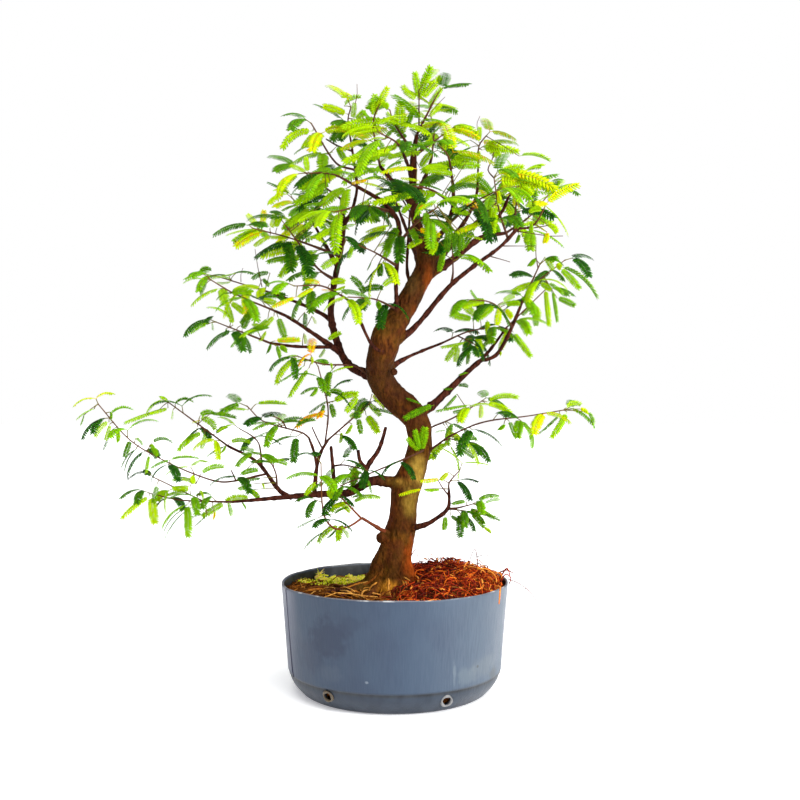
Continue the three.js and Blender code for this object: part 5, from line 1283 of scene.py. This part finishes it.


# Pot: a turned plastic shell with a worn rim, a pressed-in lower band and melted drain holes. Its colour
# holds painted light and shade: a painted highlight on the rim's top and painted shade on the low band.

potLook = {
    "height": 119, "rimRadius": 125, "wall": 2.6, "floor": 3, "foot": 101, "bandTop": 24.5, "bandStep": 1.8,
    "radiusAtBand": 117.3, "steps": 144, "rimWave": 0.7, "waveHeights": (100, 118), "dent": 0.5,
    "dentScale": 28, "lipRadius": 1.35, "lipSides": 24, "boreDepth": 14, "seamTurn": 203,
    "seamSlant": 1.6, "seamRadius": 0.75, "lipOut": 0.45, "lipUneven": 0.35, "lipSlope": 0.35,
    "lipThickness": (0.95, 0.3, 0.12),  # all round, in three swellings and by chance
}
# Drain holes: bearing in degrees, height and radius
drainHoles = [
    (234, 16, 4.6), (298, 13.5, 5), (1, 15, 4.7), (59, 16.5, 4.5), (117, 14, 4.9), (177, 15.5, 4.6),
]
bandLow = potLook["bandTop"] - potLook["bandStep"] - 0.1
plasticLook = {
    # Patterns as patches takes them
    "wide": (22.0, 0.35, 0.65, 4.0, 0.7), "fine": (620.0, 0.35, 0.65, 3.0, 0.05),
    "dirt": (60.0, 0.35, 0.65, 5.0, 0.6), "worn": (75.0, 0.5, 0.6, 4.0),
    # Where a tint begins and where it is full: across, in depth and in height
    # Across: painted light on the right side and a painted pale reflection at the far left edge, on the
    # front half.
    "litRightSide": (0.005, 0.125), "leftEdge": (-0.098, -0.118), "front": (0.02, -0.02),
    "shadedLowBand": (0.0262, 0.0232), "rimTop": (0.1177, 0.1188),
    # Tints with their share, or with two colours that the dirt mixes
    # The right tint is painted light on the right front. The lighter flecks that lie only on that lit side
    # are partly scuff marks and partly painted sheen. The left tint is a painted lavender reflection on the
    # far left edge.
    "plain": ((0.025, 0.042, 0.077), (0.033, 0.055, 0.092)), "right": (0.62, (0.081, 0.107, 0.137)),
    "scuffsAndSheen": (0.2, (0.124, 0.152, 0.185)), "left": (0.6, (0.099, 0.105, 0.165)),
    "streaks": (0.10, (0.068, 0.093, 0.139)), "seam": (0.8, (0.028, 0.025, 0.046)),
    # The low band, which tucks in towards the foot, is painted much darker: painted shade, mottled by the
    # dirt pattern.
    "band": ((0.009, 0.013, 0.020), (0.021, 0.028, 0.040)), "bandShare": 0.72,
    # The rim's top is painted paler all round as a highlight; the worn patches whiten it further, partly
    # worn plastic and partly painted highlight.
    "rim": (0.5, (0.190, 0.165, 0.160)), "wornAndLitRim": (0.85, (0.384, 0.391, 0.396)),
    "lip": ((0.070, 0.066, 0.062), (0.190, 0.190, 0.192)), "brownLip": (0.8, (0.093, 0.065, 0.033)),
    "inside": ((0.008, 0.010, 0.013), (0.024, 0.028, 0.034)),
    "brownLipAt": {"Centre": (-0.064, -0.088, 0.016), "Size": (0.014, 0.014, 0.014), "Edge": 0.2,
                   "Uneven": 0.0},
    "roughness": (0.36, 0.5), "dirtRelief": 0.35, "relief": (0.00025, 0.6),
}
# Stains, scuff marks and a painted highlight along a crease: middle, size, share and colour
potStainsAndHighlights = (
    ((-0.066, -0.103, 0.078), (0.036, 0.07, 0.040), 0.75, (0.019, 0.029, 0.059)),
    ((-0.044, -0.110, 0.094), (0.030, 0.07, 0.018), 0.45, (0.021, 0.032, 0.064)),
    ((-0.086, -0.085, 0.056), (0.034, 0.07, 0.034), 0.55, (0.020, 0.031, 0.062)),
    ((-0.064, -0.101, 0.040), (0.024, 0.07, 0.018), 0.4, (0.053, 0.074, 0.109)),
    ((-0.027, -0.118, 0.036), (0.0034, 0.03, 0.0026), 0.45, (0.260, 0.298, 0.343)),
    ((0.086, -0.085, 0.044), (0.0022, 0.03, 0.003), 0.9, (0.012, 0.012, 0.013)),
    # Painted highlight: a lighter streak up a crease above the right drain hole, and a lighter patch beside
    # it.
    ((0.061, -0.103, 0.042), (0.0030, 0.03, 0.022), 0.4, (0.135, 0.165, 0.190)),
    ((0.074, -0.095, 0.036), (0.020, 0.05, 0.018), 0.4, (0.110, 0.138, 0.158)),
    ((0.093, -0.075, 0.042), (0.034, 0.05, 0.020), 0.35, (0.124, 0.143, 0.155)),
    ((0.105, -0.06, 0.030), (0.010, 0.04, 0.014), 0.6, (0.062, 0.068, 0.069)),
)


def potRadius(z):
    look = potLook
    if z <= bandLow:
        bulge = look["radiusAtBand"] - look["bandStep"] - look["foot"]
        return look["foot"] + bulge * math.sin(max(0, z) / bandLow * math.pi / 2)
    rise = (z - look["bandTop"]) / (look["height"] - look["bandTop"])
    return look["radiusAtBand"] + (look["rimRadius"] - look["radiusAtBand"]) * rise


def plasticMaterial():
    look = plasticLook
    material, tree, shader = newMaterial("pottedPlastic", 0.42)
    wide, fine, dirt, worn = (patches(tree, *look[name]) for name in ("wide", "fine", "dirt", "worn"))
    across, inDepth, height = addNode(tree, "SeparateXYZ", i0=placeOn(tree)).outputs
    # Painted light: lighter on the right front, with lighter flecks there, and a painted reflection at the
    # far left edge.
    litRightSide = eased(tree, across, *look["litRightSide"])
    leftEdge = eased(tree, across, *look["leftEdge"])
    front = eased(tree, inDepth, *look["front"])
    shadedLowBand = eased(tree, height, *look["shadedLowBand"])
    rimTop = eased(tree, height, *look["rimTop"])
    lip = attribute(tree, "lip")
    oneLip = placeGroup(tree, spot, **look["brownLipAt"])
    colour = layered(tree, mixed(tree, wide, *look["plain"]),
                     (product(tree, litRightSide, front), *look["right"]),
                     (product(tree, fine, litRightSide), *look["scuffsAndSheen"]),
                     (product(tree, leftEdge, front), *look["left"]),
                     (fine, *look["streaks"]))
    colour = spotted(tree, colour, potStainsAndHighlights, 0.45, 1.0)
    colour = layered(tree, colour,
                     # Painted shade on the low band that tucks in towards the foot.
                     (shadedLowBand, look["bandShare"], mixed(tree, dirt, *look["band"])),
                     (attribute(tree, "seam"), *look["seam"]),
                     # The rim's top: a painted highlight all round, whiter in patches that are partly wear
                     # and partly painted highlight.
                     (rimTop, *look["rim"]),
                     (product(tree, rimTop, worn), *look["wornAndLitRim"]),
                     (lip, 1.0, mixed(tree, dirt, *look["lip"])),
                     (product(tree, oneLip, lip), *look["brownLip"]),
                     (attribute(tree, "inside"), 1.0, mixed(tree, dirt, *look["inside"])))
    tree.links.new(colour, shader.inputs["Base Color"])
    tree.links.new(ranged(tree, wide, *look["roughness"]), shader.inputs["Roughness"])
    relief = arithmetic(tree, "MULTIPLY_ADD", fine, look["dirtRelief"], dirt)
    bumpFrom(tree, shader, relief, *look["relief"])
    return material


def potProfile():  # from the middle of the underside, up the outside, over the rim and down the inside
    look = potLook
    wall, rim, top = look["wall"], look["rimRadius"], look["height"]
    outside = (27, 33, 41, 49, 57, 65, 73, 81, 89, 97, 104, 110, 114.5, 117.4)
    inside = (116, 111, 105, 98, 85, 70, 55, 40, 28, bandLow, 14, 7, 3.6)
    return [(0, 0), (30, 0), (60, 0), (85, 0), (look["foot"] - 2, 0), (look["foot"] - 0.5, 0.4),
            *((potRadius(z), z) for z in (1.6, 3.6, 6, 9, 12.5, 16, 19.5, bandLow)),
            (look["radiusAtBand"] - 0.9, look["bandTop"] - 0.6), (potRadius(24.5), 24.9),
            *((potRadius(z), z) for z in outside),
            (rim - 0.2, top - 0.7), (rim - 0.7, top - 0.15), (rim - wall / 2, top),
            (rim - wall + 0.7, top - 0.15), (rim - wall + 0.1, top - 0.8),
            *((potRadius(z) - wall, z) for z in inside),
            (96, look["floor"]), (60, look["floor"]), (0, look["floor"])]


def markedAs(name):
    def shaping(shape, rings):
        layer = shape.verts.layers.float[name]
        for v in shape.verts:
            v[layer] = 1
    return shaping


def boredPot():  # the turned shell with its drain holes cut through
    look = potLook
    bm = bmesh.new()
    turnRound(bm, potProfile(), look["steps"])
    bmesh.ops.recalc_face_normals(bm, faces=bm.faces)
    bores = bmesh.new()
    for degrees, height, radius in drainHoles:
        place = Matrix.Rotation(math.radians(degrees), 4, "Z")
        place = place @ Matrix.Translation(Vector((potRadius(height), 0, height)) * mm)
        place = place @ Matrix.Rotation(math.radians(90), 4, "Y")
        bmesh.ops.create_cone(bores, segments=look["lipSides"], cap_ends=True, radius1=radius * mm,
                              radius2=radius * mm, depth=look["boreDepth"] * mm, matrix=place)
    shell = inScene("potShell", meshOf(bm, "potShell"))
    cutter = inScene("potBores", meshOf(bores, "potBores"))
    cut = shell.modifiers.new("bores", "BOOLEAN")
    cut.operation = "DIFFERENCE"
    cut.solver = "EXACT"
    cut.object = cutter
    return withModifiers(shell, cutter)


def addLip(bm, degrees, height, radius):  # a melted, uneven lip round a drain hole
    look = potLook
    random = randomRun(degrees)
    turned = Matrix.Rotation(math.radians(degrees), 3, "Z")
    middle = Vector((potRadius(height), 0, height)) * mm
    points = []
    radii = []
    for k in range(look["lipSides"] + 1):
        angle = 2 * math.pi * k / look["lipSides"]
        uneven = look["lipUneven"] * math.sin(2 * angle + degrees)
        reach = (radius + look["lipRadius"] * look["lipOut"] + uneven) * mm
        slope = reach * math.sin(angle) * look["lipSlope"]
        points.append(turned @ (middle + Vector((0.5 * mm + slope, reach * math.cos(angle),
                                                 reach * math.sin(angle)))))
        even, swell, chance = look["lipThickness"]
        radii.append(look["lipRadius"] * (even + swell * math.sin(3 * angle + degrees)
                                          + chance * (random() - 0.5)) * mm)
    points[-1] = points[0] + (points[1] - points[0]) * 0.2  # the end runs on into the start
    sweep(bm, points, radii, 10, shaping=markedAs("lip"))


def addSeam(bm):  # the mould's seam, a thin bead up the side
    look = potLook
    points = []
    for z in (24, 30, 40, 55, 70, 85, 100, 112, 117.5):
        turn = math.radians(look["seamTurn"]) + smoothDown(32, 22, z) * math.radians(look["seamSlant"])
        points.append(Vector((math.cos(turn), math.sin(turn), 0)) * potRadius(z) * mm + upward * z * mm)
    sweep(bm, points, [look["seamRadius"] * mm] * len(points), 6, shaping=markedAs("seam"))


def buildPot():
    look = potLook
    mesh = boredPot()
    bm = newShape("inside", "lip", "seam")
    bm.from_mesh(mesh)
    inside = bm.verts.layers.float["inside"]
    for v in bm.verts:
        height = v.co.z / mm
        out = math.hypot(v.co.x, v.co.y) / mm
        if 1 < height < 116.5 and out < potRadius(height) - look["wall"] * 0.6:
            v[inside] = 1
        turn = math.atan2(v.co.y, v.co.x)
        wave = 0.55 * math.sin(3 * turn + 1) + 0.3 * math.sin(7 * turn) + 0.25 * math.sin(13 * turn + 2)
        v.co.z += look["rimWave"] * wave * mm * smoothStep(*look["waveHeights"], height)
        dent = noise.noise(Vector((v.co.x, v.co.y, v.co.z * 0.6)) * look["dentScale"])
        outward = Vector((v.co.x, v.co.y, 0)).normalized()
        v.co += outward * dent * look["dent"] * mm * smoothStep(2, 20, height)
    for hole in drainHoles:
        addLip(bm, *hole)
    addSeam(bm)
    return finishPiece(bm, "trainingPot", [plasticMaterial()], ["pot"])


buildPot()


# Soil with its crumbs, fine roots, dry fibres and moss

earthTones = {
    "grains": (520.0, 0.35, 0.66, 6.0), "colours": ((0.018, 0.005, 0.001), (0.13, 0.036, 0.005)),
    "patches": (40.0, 0.4, 0.62), "share": 0.4, "tint": (0.19, 0.060, 0.005), "depth": 0.0012,
}
fibreTones = {
    "name": "dryFibre", "roughness": 0.7, "gloss": 0.12,
    "tones": [(0.0, (0.030, 0.002, 0.001)), (0.3, (0.16, 0.008, 0.001)), (0.6, (0.44, 0.032, 0.002)),
              (0.85, (0.85, 0.17, 0.008)), (1.0, (0.92, 0.33, 0.045))],
    "patches": (380.0, 0.35, 0.7, 2.0), "share": 0.4, "tint": (0.09, 0.010, 0.002),
}
rootTones = {
    "name": "rootSkin", "roughness": 0.75, "gloss": 0.08,
    "tones": [(0.0, (0.050, 0.013, 0.002)), (0.4, (0.20, 0.056, 0.005)), (0.75, (0.50, 0.18, 0.018)),
              (1.0, (0.85, 0.46, 0.11))],
    "patches": (420.0, 0.35, 0.65), "share": 0.5, "tint": (0.08, 0.026, 0.005),
    "relief": (420.0, 0.35, 0.65), "depth": 0.0004,
}
mossTones = {
    # The brightest yellow and orange tones are partly the moss's own colour and partly painted highlights.
    "tones": [(0.0, (0.02, 0.025, 0.001)), (0.3, (0.15, 0.19, 0.003)), (0.52, (0.62, 0.74, 0.01)),
              (0.8, (0.95, 0.92, 0.05)), (1.0, (0.95, 0.66, 0.16))],
    # The light that thin moss lets through, and a painted glow: the moss gives off its own colour as light.
    "through": {"Emission Strength": 0.14, "Subsurface Weight": 0.6, "Subsurface Radius": (1.0, 1.0, 0.1),
                "Subsurface Scale": 0.003},
}


def earthMaterial():
    material, tree, shader = newMaterial("pottingMix", 0.95, 0.03)
    look = earthTones
    grains = patches(tree, *look["grains"])
    colour = layered(tree, mixed(tree, grains, *look["colours"]),
                     (patches(tree, *look["patches"]), look["share"], look["tint"]))
    tree.links.new(colour, shader.inputs["Base Color"])
    bumpFrom(tree, shader, grains, look["depth"])
    return material


def mossMaterial():
    material, tree, shader = newMaterial("moss", 0.9, 0.02, mossTones["through"])
    colour = rampOf(tree, attribute(tree, "tone"), mossTones["tones"])
    tree.links.new(colour, shader.inputs["Base Color"])
    # Painted glow: the moss gives off its own colour.
    tree.links.new(colour, shader.inputs["Emission Color"])
    bumpFrom(tree, shader, patches(tree, 900.0), 0.0004)
    return material


pottingMix = earthMaterial()
dryFibre = tonedMaterial(fibreTones)
rootSkin = tonedMaterial(rootTones)
mossGreen = mossMaterial()


soilLook = {
    "radius": 121.3, "steps": 150, "rings": 56, "flat": 100, "rough": 2.0, "roughScale": 130,
    "edge": (120, 112), "crumbs": 420, "crumbReach": 116, "crumbSizes": (0.7, 2.2), "crumbSeed": 31,
}


def earthHeight(x, y):  # in mm, the soil's surface with its fine lumps
    look = soilLook
    place = Vector((x, y, 0)) * mm
    rough = noise.noise(place * look["roughScale"]) + 0.6 * noise.noise(place * look["roughScale"] * 2.7)
    edge = smoothDown(*look["edge"], math.hypot(x, y))
    return soilHeight(x, y) + look["rough"] * rough * (0.3 + 0.7 * edge)


def onEarth(x, y, lift):
    return Vector((x, y, earthHeight(x, y) + lift)) * mm


def buildSoil():
    look = soilLook
    bm = newShape()
    profile = [(look["radius"] * k / look["rings"], look["flat"]) for k in range(look["rings"] + 1)]
    profile += [(potRadius(z) - 3, z) for z in (85, 60, 35, 20, 9, 4)] + [(60, 3.5), (0, 3.5)]
    turnRound(bm, profile, look["steps"])
    for v in bm.verts:
        if v.co.z > (look["flat"] - 1) * mm:
            v.co.z = earthHeight(v.co.x / mm, v.co.y / mm) * mm
    bmesh.ops.recalc_face_normals(bm, faces=bm.faces)
    grain = newShape()
    bmesh.ops.create_icosphere(grain, subdivisions=1, radius=1)
    grain = templateOf(grain)
    random = randomRun(look["crumbSeed"])
    for n in range(look["crumbs"]):
        x, y = anywhereWithin(random, look["crumbReach"])[:2]
        place = Matrix.Translation(onEarth(x, y, 0.2))
        place = place @ Matrix.Rotation(6.3 * random(), 4, Vector((random(), random(), 1)).normalized())
        size = between(random, *look["crumbSizes"]) * mm
        flat = (size, size * between(random, 0.5, 1), size * between(random, 0.4, 0.8), 1)
        pourPlaced(bm, grain, place @ Matrix.Diagonal(flat), 0.5)
    return finishPiece(bm, "soilSurface", [pottingMix], ["soil"])


strandLook = {
    "pitch": (-0.1, 0.55), "sag": 0.22, "pitchSpread": 0.5, "wall": 120, "inside": 119,
    "turnBack": 0.6, "risesFromEarth": 0.35, "taper": 0.45,
}


def strand(bm, random, start, heading, length, radius, tone, steps=8, wander=0.75, clearance=0.6):
    look = strandLook
    points = [start.copy()]
    radii = [radius]
    pitch = between(random, *look["pitch"])
    stride = length / steps
    for step in range(steps):
        heading += wander * (random() - 0.5) * 2
        pitch += -look["sag"] + look["pitchSpread"] * (random() - 0.5)
        level = math.cos(pitch)
        ahead = Vector((math.cos(heading) * level, math.sin(heading) * level, math.sin(pitch)))
        point = points[-1] + ahead * stride
        reach = math.hypot(point.x, point.y)
        if reach > look["wall"] * mm:
            heading += math.pi * look["turnBack"]
            point.x *= look["inside"] * mm / reach
            point.y *= look["inside"] * mm / reach
        ground = (earthHeight(point.x / mm, point.y / mm) + clearance) * mm
        if point.z < ground:
            point.z = ground
            pitch = look["risesFromEarth"] * random()
        points.append(point)
        radii.append(radius * (1 - look["taper"] * (step + 1) / steps))
    sweep(bm, points, radii, 3, tone=tone)


fibreLook = {
    "count": 1900, "seed": 57, "thin": 0.35 * mm, "thick": 1.05 * mm, "short": 10 * mm, "long": 34 * mm,
    "reach": 119, "height": 10, "wander": 0.5, "across": (-22, 14), "dark": 0.4, "thinUnder": 0.35,
    # Strands higher in the mat get a lighter tone and low ones a darker: painted light and shade.
    "brightOver": 0.88, "tone": 0.12, "toneSpread": 0.45, "litToneUp": 0.3, "toneRight": 0.25,
    "right": (50, 110), "lowAtWall": (121, 100), "darker": 0.4, "brighter": 0.35, "slant": 0.12,
}


def buildFibres():  # on the right half, thickest from the trunk's foot to the rim
    look = fibreLook
    random = randomRun(look["seed"])
    bm = newShape()
    placed = 0
    while placed < look["count"]:
        x, y, out = anywhereWithin(random, look["reach"])
        if random() > smoothStep(*look["across"], x + look["slant"] * y):
            continue
        layer = random()
        lift = 0.4 + look["height"] * layer * layer * smoothDown(*look["lowAtWall"], out)
        kind = random()
        bright = kind > look["brightOver"]
        # Painted light and shade: the higher the strand, the lighter its tone.
        tone = look["tone"] + look["toneSpread"] * random() + look["litToneUp"] * layer
        tone += look["toneRight"] * smoothStep(*look["right"], x)
        tone += look["brighter"] * bright - look["darker"] * (kind < look["dark"])
        tone = min(1, max(0, tone))
        radius = between(random, look["thin"], look["thick"])
        radius *= 1.25 if bright else 0.7 + 0.3 * (kind < look["thinUnder"])
        heading = 6.3 * random()
        length = between(random, look["short"], look["long"])
        strand(bm, random, onEarth(x, y, lift), heading, length, radius, tone, wander=look["wander"])
        placed += 1
    return finishPiece(bm, "dryFibres", [dryFibre])


def surfaceOf(piece):
    places = [v.co for v in piece.data.vertices]
    return bvhtree.BVHTree.FromPolygons(places, [p.vertices[:] for p in piece.data.polygons])


def seenPlace(surfaces, x, y, lift):  # the nearest place on the surfaces at x, y of the picture
    eye = fromSheet((sheet["middle"], sheet["middle"], -sheet["distance"]))
    ahead = (fromSheet((x, y, 0)) - eye).normalized()
    hits = [surface.ray_cast(eye, ahead) for surface in surfaces]
    place, normal = min((hit for hit in hits if hit[0]), key=lambda hit: hit[3])[:2]
    return place + (normal * -1 if normal.y > 0 else normal) * lift * mm


# Roots that lie open on the soil and on the trunk's foot: tone, radius and height over the surface in mm,
# and their way in the picture
picturedRoots = (
    (0.9, 1.3, 0.9, [(340,590.5), (347,592), (354,596), (359,598)]),
    (0.55, 1.5, 1.0, [(300,593), (310,591), (322,590), (333,592), (341,595)]),
    (0.35, 1.6, 1.0, [(309,587), (322,585.5), (334,585.5), (350,588.5)]),
    (0.25, 1.4, 1.0, [(306,589), (318,587.5), (330,588), (343,591)]),
    (0.65, 1.2, 0.8, [(364,582), (356,584.5), (348,587.5), (340,588)]),
    (0.85, 1.3, 1.0, [(361.5,597), (363,592.5), (368,591), (373,593.5), (382,595)]),
    (0.7, 1.2, 0.9, [(350,594), (355,596.5), (358.5,598)]),
    (0.82, 1.0, 0.7, [(388.6,577), (388.9,583), (388.2,589), (390.5,594), (391.5,598)]),
    (0.85, 1.0, 0.8, [(390,586), (396,590.5), (403,594), (413,598)]),
    (0.45, 1.6, 0.9, [(384,592), (383,595), (379,598)]),
    (0.6, 1.5, 0.9, [(365,590), (359,592), (353,591), (346,593.5)]),
    (0.3, 1.6, 0.9, [(392,590), (394,595), (393,598)]),
    (0.5, 0.9, 0.6, [(290,590), (296,592.5), (304,595), (314,596.5)]),
    (0.75, 0.9, 0.6, [(318,594), (327,594), (336,597), (345,598)]),
    (1, 2.6, -0.9, [(391,566), (390,571), (387,579), (383,587), (379,594)]),
    (1, 2.6, -1.0, [(382,552), (379,560), (371,571), (364,580), (357,588)]),
    (1, 2.6, -1.0, [(385,564), (381,573), (375,581), (368,588), (361,594)]),
    (1, 2.2, -0.8, [(395,567), (397,573), (401,580), (403,587)]),
    (0.85, 1.2, 0.5, [(404,577), (409,580.5), (411,583)]),
    (0.8, 1.0, 0.6, [(416,574), (418,580), (418.5,586)]),
    (0.4, 1.6, 0.2, [(379,572), (375,578), (368,583), (360,585)]),
)
fineRootLook = {
    "seed": 71, "count": 46, "bearings": (150, 300), "from": (42, 112), "turnAside": (0.9, 1.9),
    "lengths": (30, 75), "radii": (0.5, 1.25), "tones": (0.3, 0.95),
    "climbers": 16, "climberBearings": (180, 380), "climb": (4, 12), "climberRadii": (0.5, 1.3),
    "climberTones": (0.1, 0.9), "climberFoot": (34, 30), "climberTop": (23, 22), "twist": 0.3,
    "bulge": (3, 2), "sink": 0.8, "thinEnd": 0.45, "spacing": 2.5 * mm,
}


def roundFoot(turn, outX, outY):
    return Vector((trunkFoot["x"] + outX * math.cos(turn), trunkFoot["y"] + outY * math.sin(turn), 0))


def buildFineRoots():  # brown roots that lie bare on the left and round the trunk's foot
    look = fineRootLook
    random = randomRun(look["seed"])
    bm = newShape()
    for n in range(look["count"]):
        turn = math.radians(between(random, *look["bearings"]))
        out = between(random, *look["from"])
        heading = turn + (1 if random() < 0.5 else -1) * between(random, *look["turnAside"])
        strand(bm, random, onEarth(out * math.cos(turn), out * math.sin(turn), 0.8), heading,
               between(random, *look["lengths"]) * mm, between(random, *look["radii"]) * mm,
               between(random, *look["tones"]), steps=9, wander=0.32, clearance=0.5)
    for n in range(look["climbers"]):  # short ones that climb out of the soil onto the trunk
        turn = math.radians(between(random, *look["climberBearings"]))
        foot = roundFoot(turn, *look["climberFoot"])
        foot.z = earthHeight(foot.x, foot.y)
        top = roundFoot(turn + look["twist"], *look["climberTop"])
        top.z = foot.z + between(random, *look["climb"])
        out, up = look["bulge"]
        middle = (foot + top) / 2 + Vector((out * math.cos(turn), out * math.sin(turn), up))
        radius = between(random, *look["climberRadii"]) * mm
        radii = [radius, radius * 1.1, radius * 0.7]
        route = smoothRoute([foot * mm, middle * mm, top * mm], radii, 4 * mm)
        sweep(bm, *route, 6, tone=between(random, *look["climberTones"]))
    surfaces = [surfaceOf(trunkPiece), surfaceOf(soilPiece)]
    for tone, radius, height, places in picturedRoots:
        last = len(places) - 1  # both ends go into the surface
        sink = [look["sink"] * radius if n in (0, last) else 0 for n in range(last + 1)]
        route = [seenPlace(surfaces, x, y, height - down) for (x, y), down in zip(places, sink)]
        radii = [(look["thinEnd"] if down else 1) * radius * mm for down in sink]
        barked = height < 0  # ridges of the trunk's foot
        sweep(bm, *smoothRoute(route, radii, look["spacing"]), 6, tone=1 if barked else tone,
              material=int(barked))
    return finishPiece(bm, "fineRoots", [rootSkin, bark])


mossLook = {
    "blades": 8200, "seed": 83, "middle": (-60, 58), "reach": (58, 50), "heights": (1.4, 4.0),
    "radius": 0.9, "tipRadius": 0.12, "clumpScale": 0.09, "bareUnder": -0.34, "barerOut": 0.25,
    "wall": 117, "trunkClear": 30, "lean": 1.4, "tuft": (-88, 72), "tuftReach": 3.5, "tuftTall": 3.2,
    # Raised clumps get a lighter tone: painted light on them and painted shade between them.
    "tone": 0.46, "toneSpread": 1.1, "litClumpTone": 0.8, "crowding": 0.65, "clumpLift": 2.4,
}


def buildMoss():
    look = mossLook
    random = randomRun(look["seed"])
    bm = newShape()
    blade = newShape()
    bmesh.ops.create_cone(blade, segments=3, cap_ends=True, radius1=look["radius"] * mm,
                          radius2=look["tipRadius"] * mm, depth=1)
    blade = templateOf(blade)
    for n in range(look["blades"]):
        turn = 2 * math.pi * random()
        out = random() ** look["crowding"]
        x = look["middle"][0] + look["reach"][0] * out * math.cos(turn)
        y = look["middle"][1] + look["reach"][1] * out * math.sin(turn)
        clump = noise.noise(Vector((x, y, 0)) * look["clumpScale"])
        onWood = math.hypot(x - trunkFoot["x"], y - trunkFoot["y"]) < look["trunkClear"]
        if math.hypot(x, y) > look["wall"] or onWood or clump < look["bareUnder"] + look["barerOut"] * out:
            continue
        tall = between(random, *look["heights"]) * (0.8 + clump)
        if math.dist((x, y), look["tuft"]) < look["tuftReach"]:  # the taller tuft near the wall
            tall *= look["tuftTall"]
        place = Matrix.Translation(onEarth(x, y, tall * 0.4 + look["clumpLift"] * max(0, clump)))
        lean = look["lean"] * random()
        axis = Vector((random() - 0.5, random() - 0.5, 0.01)).normalized()
        place = place @ Matrix.Rotation(lean, 4, axis)
        # Raised clumps are lighter and the low moss between them darker: painted light and shade.
        tone = look["tone"] + look["toneSpread"] * (random() - 0.45) + look["litClumpTone"] * clump
        pourPlaced(bm, blade, place @ Matrix.Diagonal((1, 1, tall * mm, 1)), min(1, max(0, tone)))
    return finishPiece(bm, "moss", [mossGreen])


# Loose dry twigs and stems on the soil: tone and route
dryTwigs = (
    (0.2, [(478,572,60,0.7), (477,558,58,0.6), (475,549,58,0.5), (471,556,60,0.4), (469,566,62,0.35)]),
    (0.2, [(477,557,58,0.45), (484,555,50,0.4), (494,557,44,0.3)]),
    (0.25, [(508,579,-10,0.5), (518,583,-22,0.45), (528,590,-30,0.4), (536,600,-34,0.35),
            (540,607,-36,0.3)]),
    (0.2, [(526,588,-28,0.35), (521,592,-26,0.3)]),
    (0.3, [(411,556,-34,0.5), (416,549,-36,0.4), (418,560,-36,0.3)]),
    (0.9, [(496,586,-58,0.9), (500,587,-96,0.85), (500,592,-117,0.8), (499,604,-119,0.6)]),
    (0.45, [(500,582,-30,0.9), (506,574,-34,0.8), (511,578,-30,0.7), (509,584,-24,0.6)]),
    (0.5, [(502,575,0,0.9), (507,568,-6,0.8), (510,575,-8,0.6)]),
    (0.4, [(498,573,8,0.9), (507,570,0,0.8), (513,573,-6,0.5)]),
)

soilPiece = buildSoil()
buildFibres()
buildFineRoots()
buildMoss()
buildThinWood("dryTwigs", dryTwigs, 5, 4 * mm, dryFibre)


# Pale floor, soft light

studio = {
    "floorSize": 12, "floorDrop": 0.2 * mm,
    # The floor glows a little, as the white floor of the picture does.
    "floor": {"Base Color": (0.95, 0.95, 0.95, 1), "Emission Color": (0.96, 0.96, 1.0, 1),
              "Emission Strength": 0.35},
    "seen": 1.0, "light": 0.46,  # the white backdrop as seen, and the light that it gives
    "aim": (0, 0, 0.35),
    "sunStrength": 3.4, "sunAngle": 60, "sunPlace": (0.25, -0.5, 2.0),
    "sideStrength": 45, "sideSize": 0.9, "sidePlace": (1.6, -1.1, 0.9),
}

floorShape = bmesh.new()
bmesh.ops.create_grid(floorShape, x_segments=2, y_segments=2, size=studio["floorSize"])
bmesh.ops.translate(floorShape, verts=floorShape.verts, vec=(0, 0, -studio["floorDrop"]))
floorMesh = meshOf(floorShape, "floor")
floorMesh.materials.append(newMaterial("paleFloor", 0.9, 0.3, studio["floor"])[0])
floor = inScene("floor", floorMesh)

world = bpy.data.worlds.new("studio")
world.use_nodes = True
worldTree = world.node_tree
backdrop = worldTree.nodes["Background"]
backdrop.inputs["Color"].default_value = (1, 1, 1, 1)
strength = ranged(worldTree, addNode(worldTree, "LightPath").outputs["Is Camera Ray"], studio["light"],
                  studio["seen"])
worldTree.links.new(strength, backdrop.inputs["Strength"])
bpy.context.scene.world = world
bpy.context.scene.view_settings.view_transform = "Standard"

sun = bpy.data.lights.new("overhead", "SUN")  # a wide overhead softbox, as even on the floor as a sun
sun.energy = studio["sunStrength"]
sun.angle = math.radians(studio["sunAngle"])
side = bpy.data.lights.new("side", "AREA")
side.size = studio["sideSize"]
side.energy = studio["sideStrength"]
for light, place in ((sun, studio["sunPlace"]), (side, studio["sidePlace"])):
    lamp = inScene(light.name, light)
    lamp.location = place
    lamp.rotation_euler = (Vector(studio["aim"]) - lamp.location).to_track_quat("-Z", "Y").to_euler()
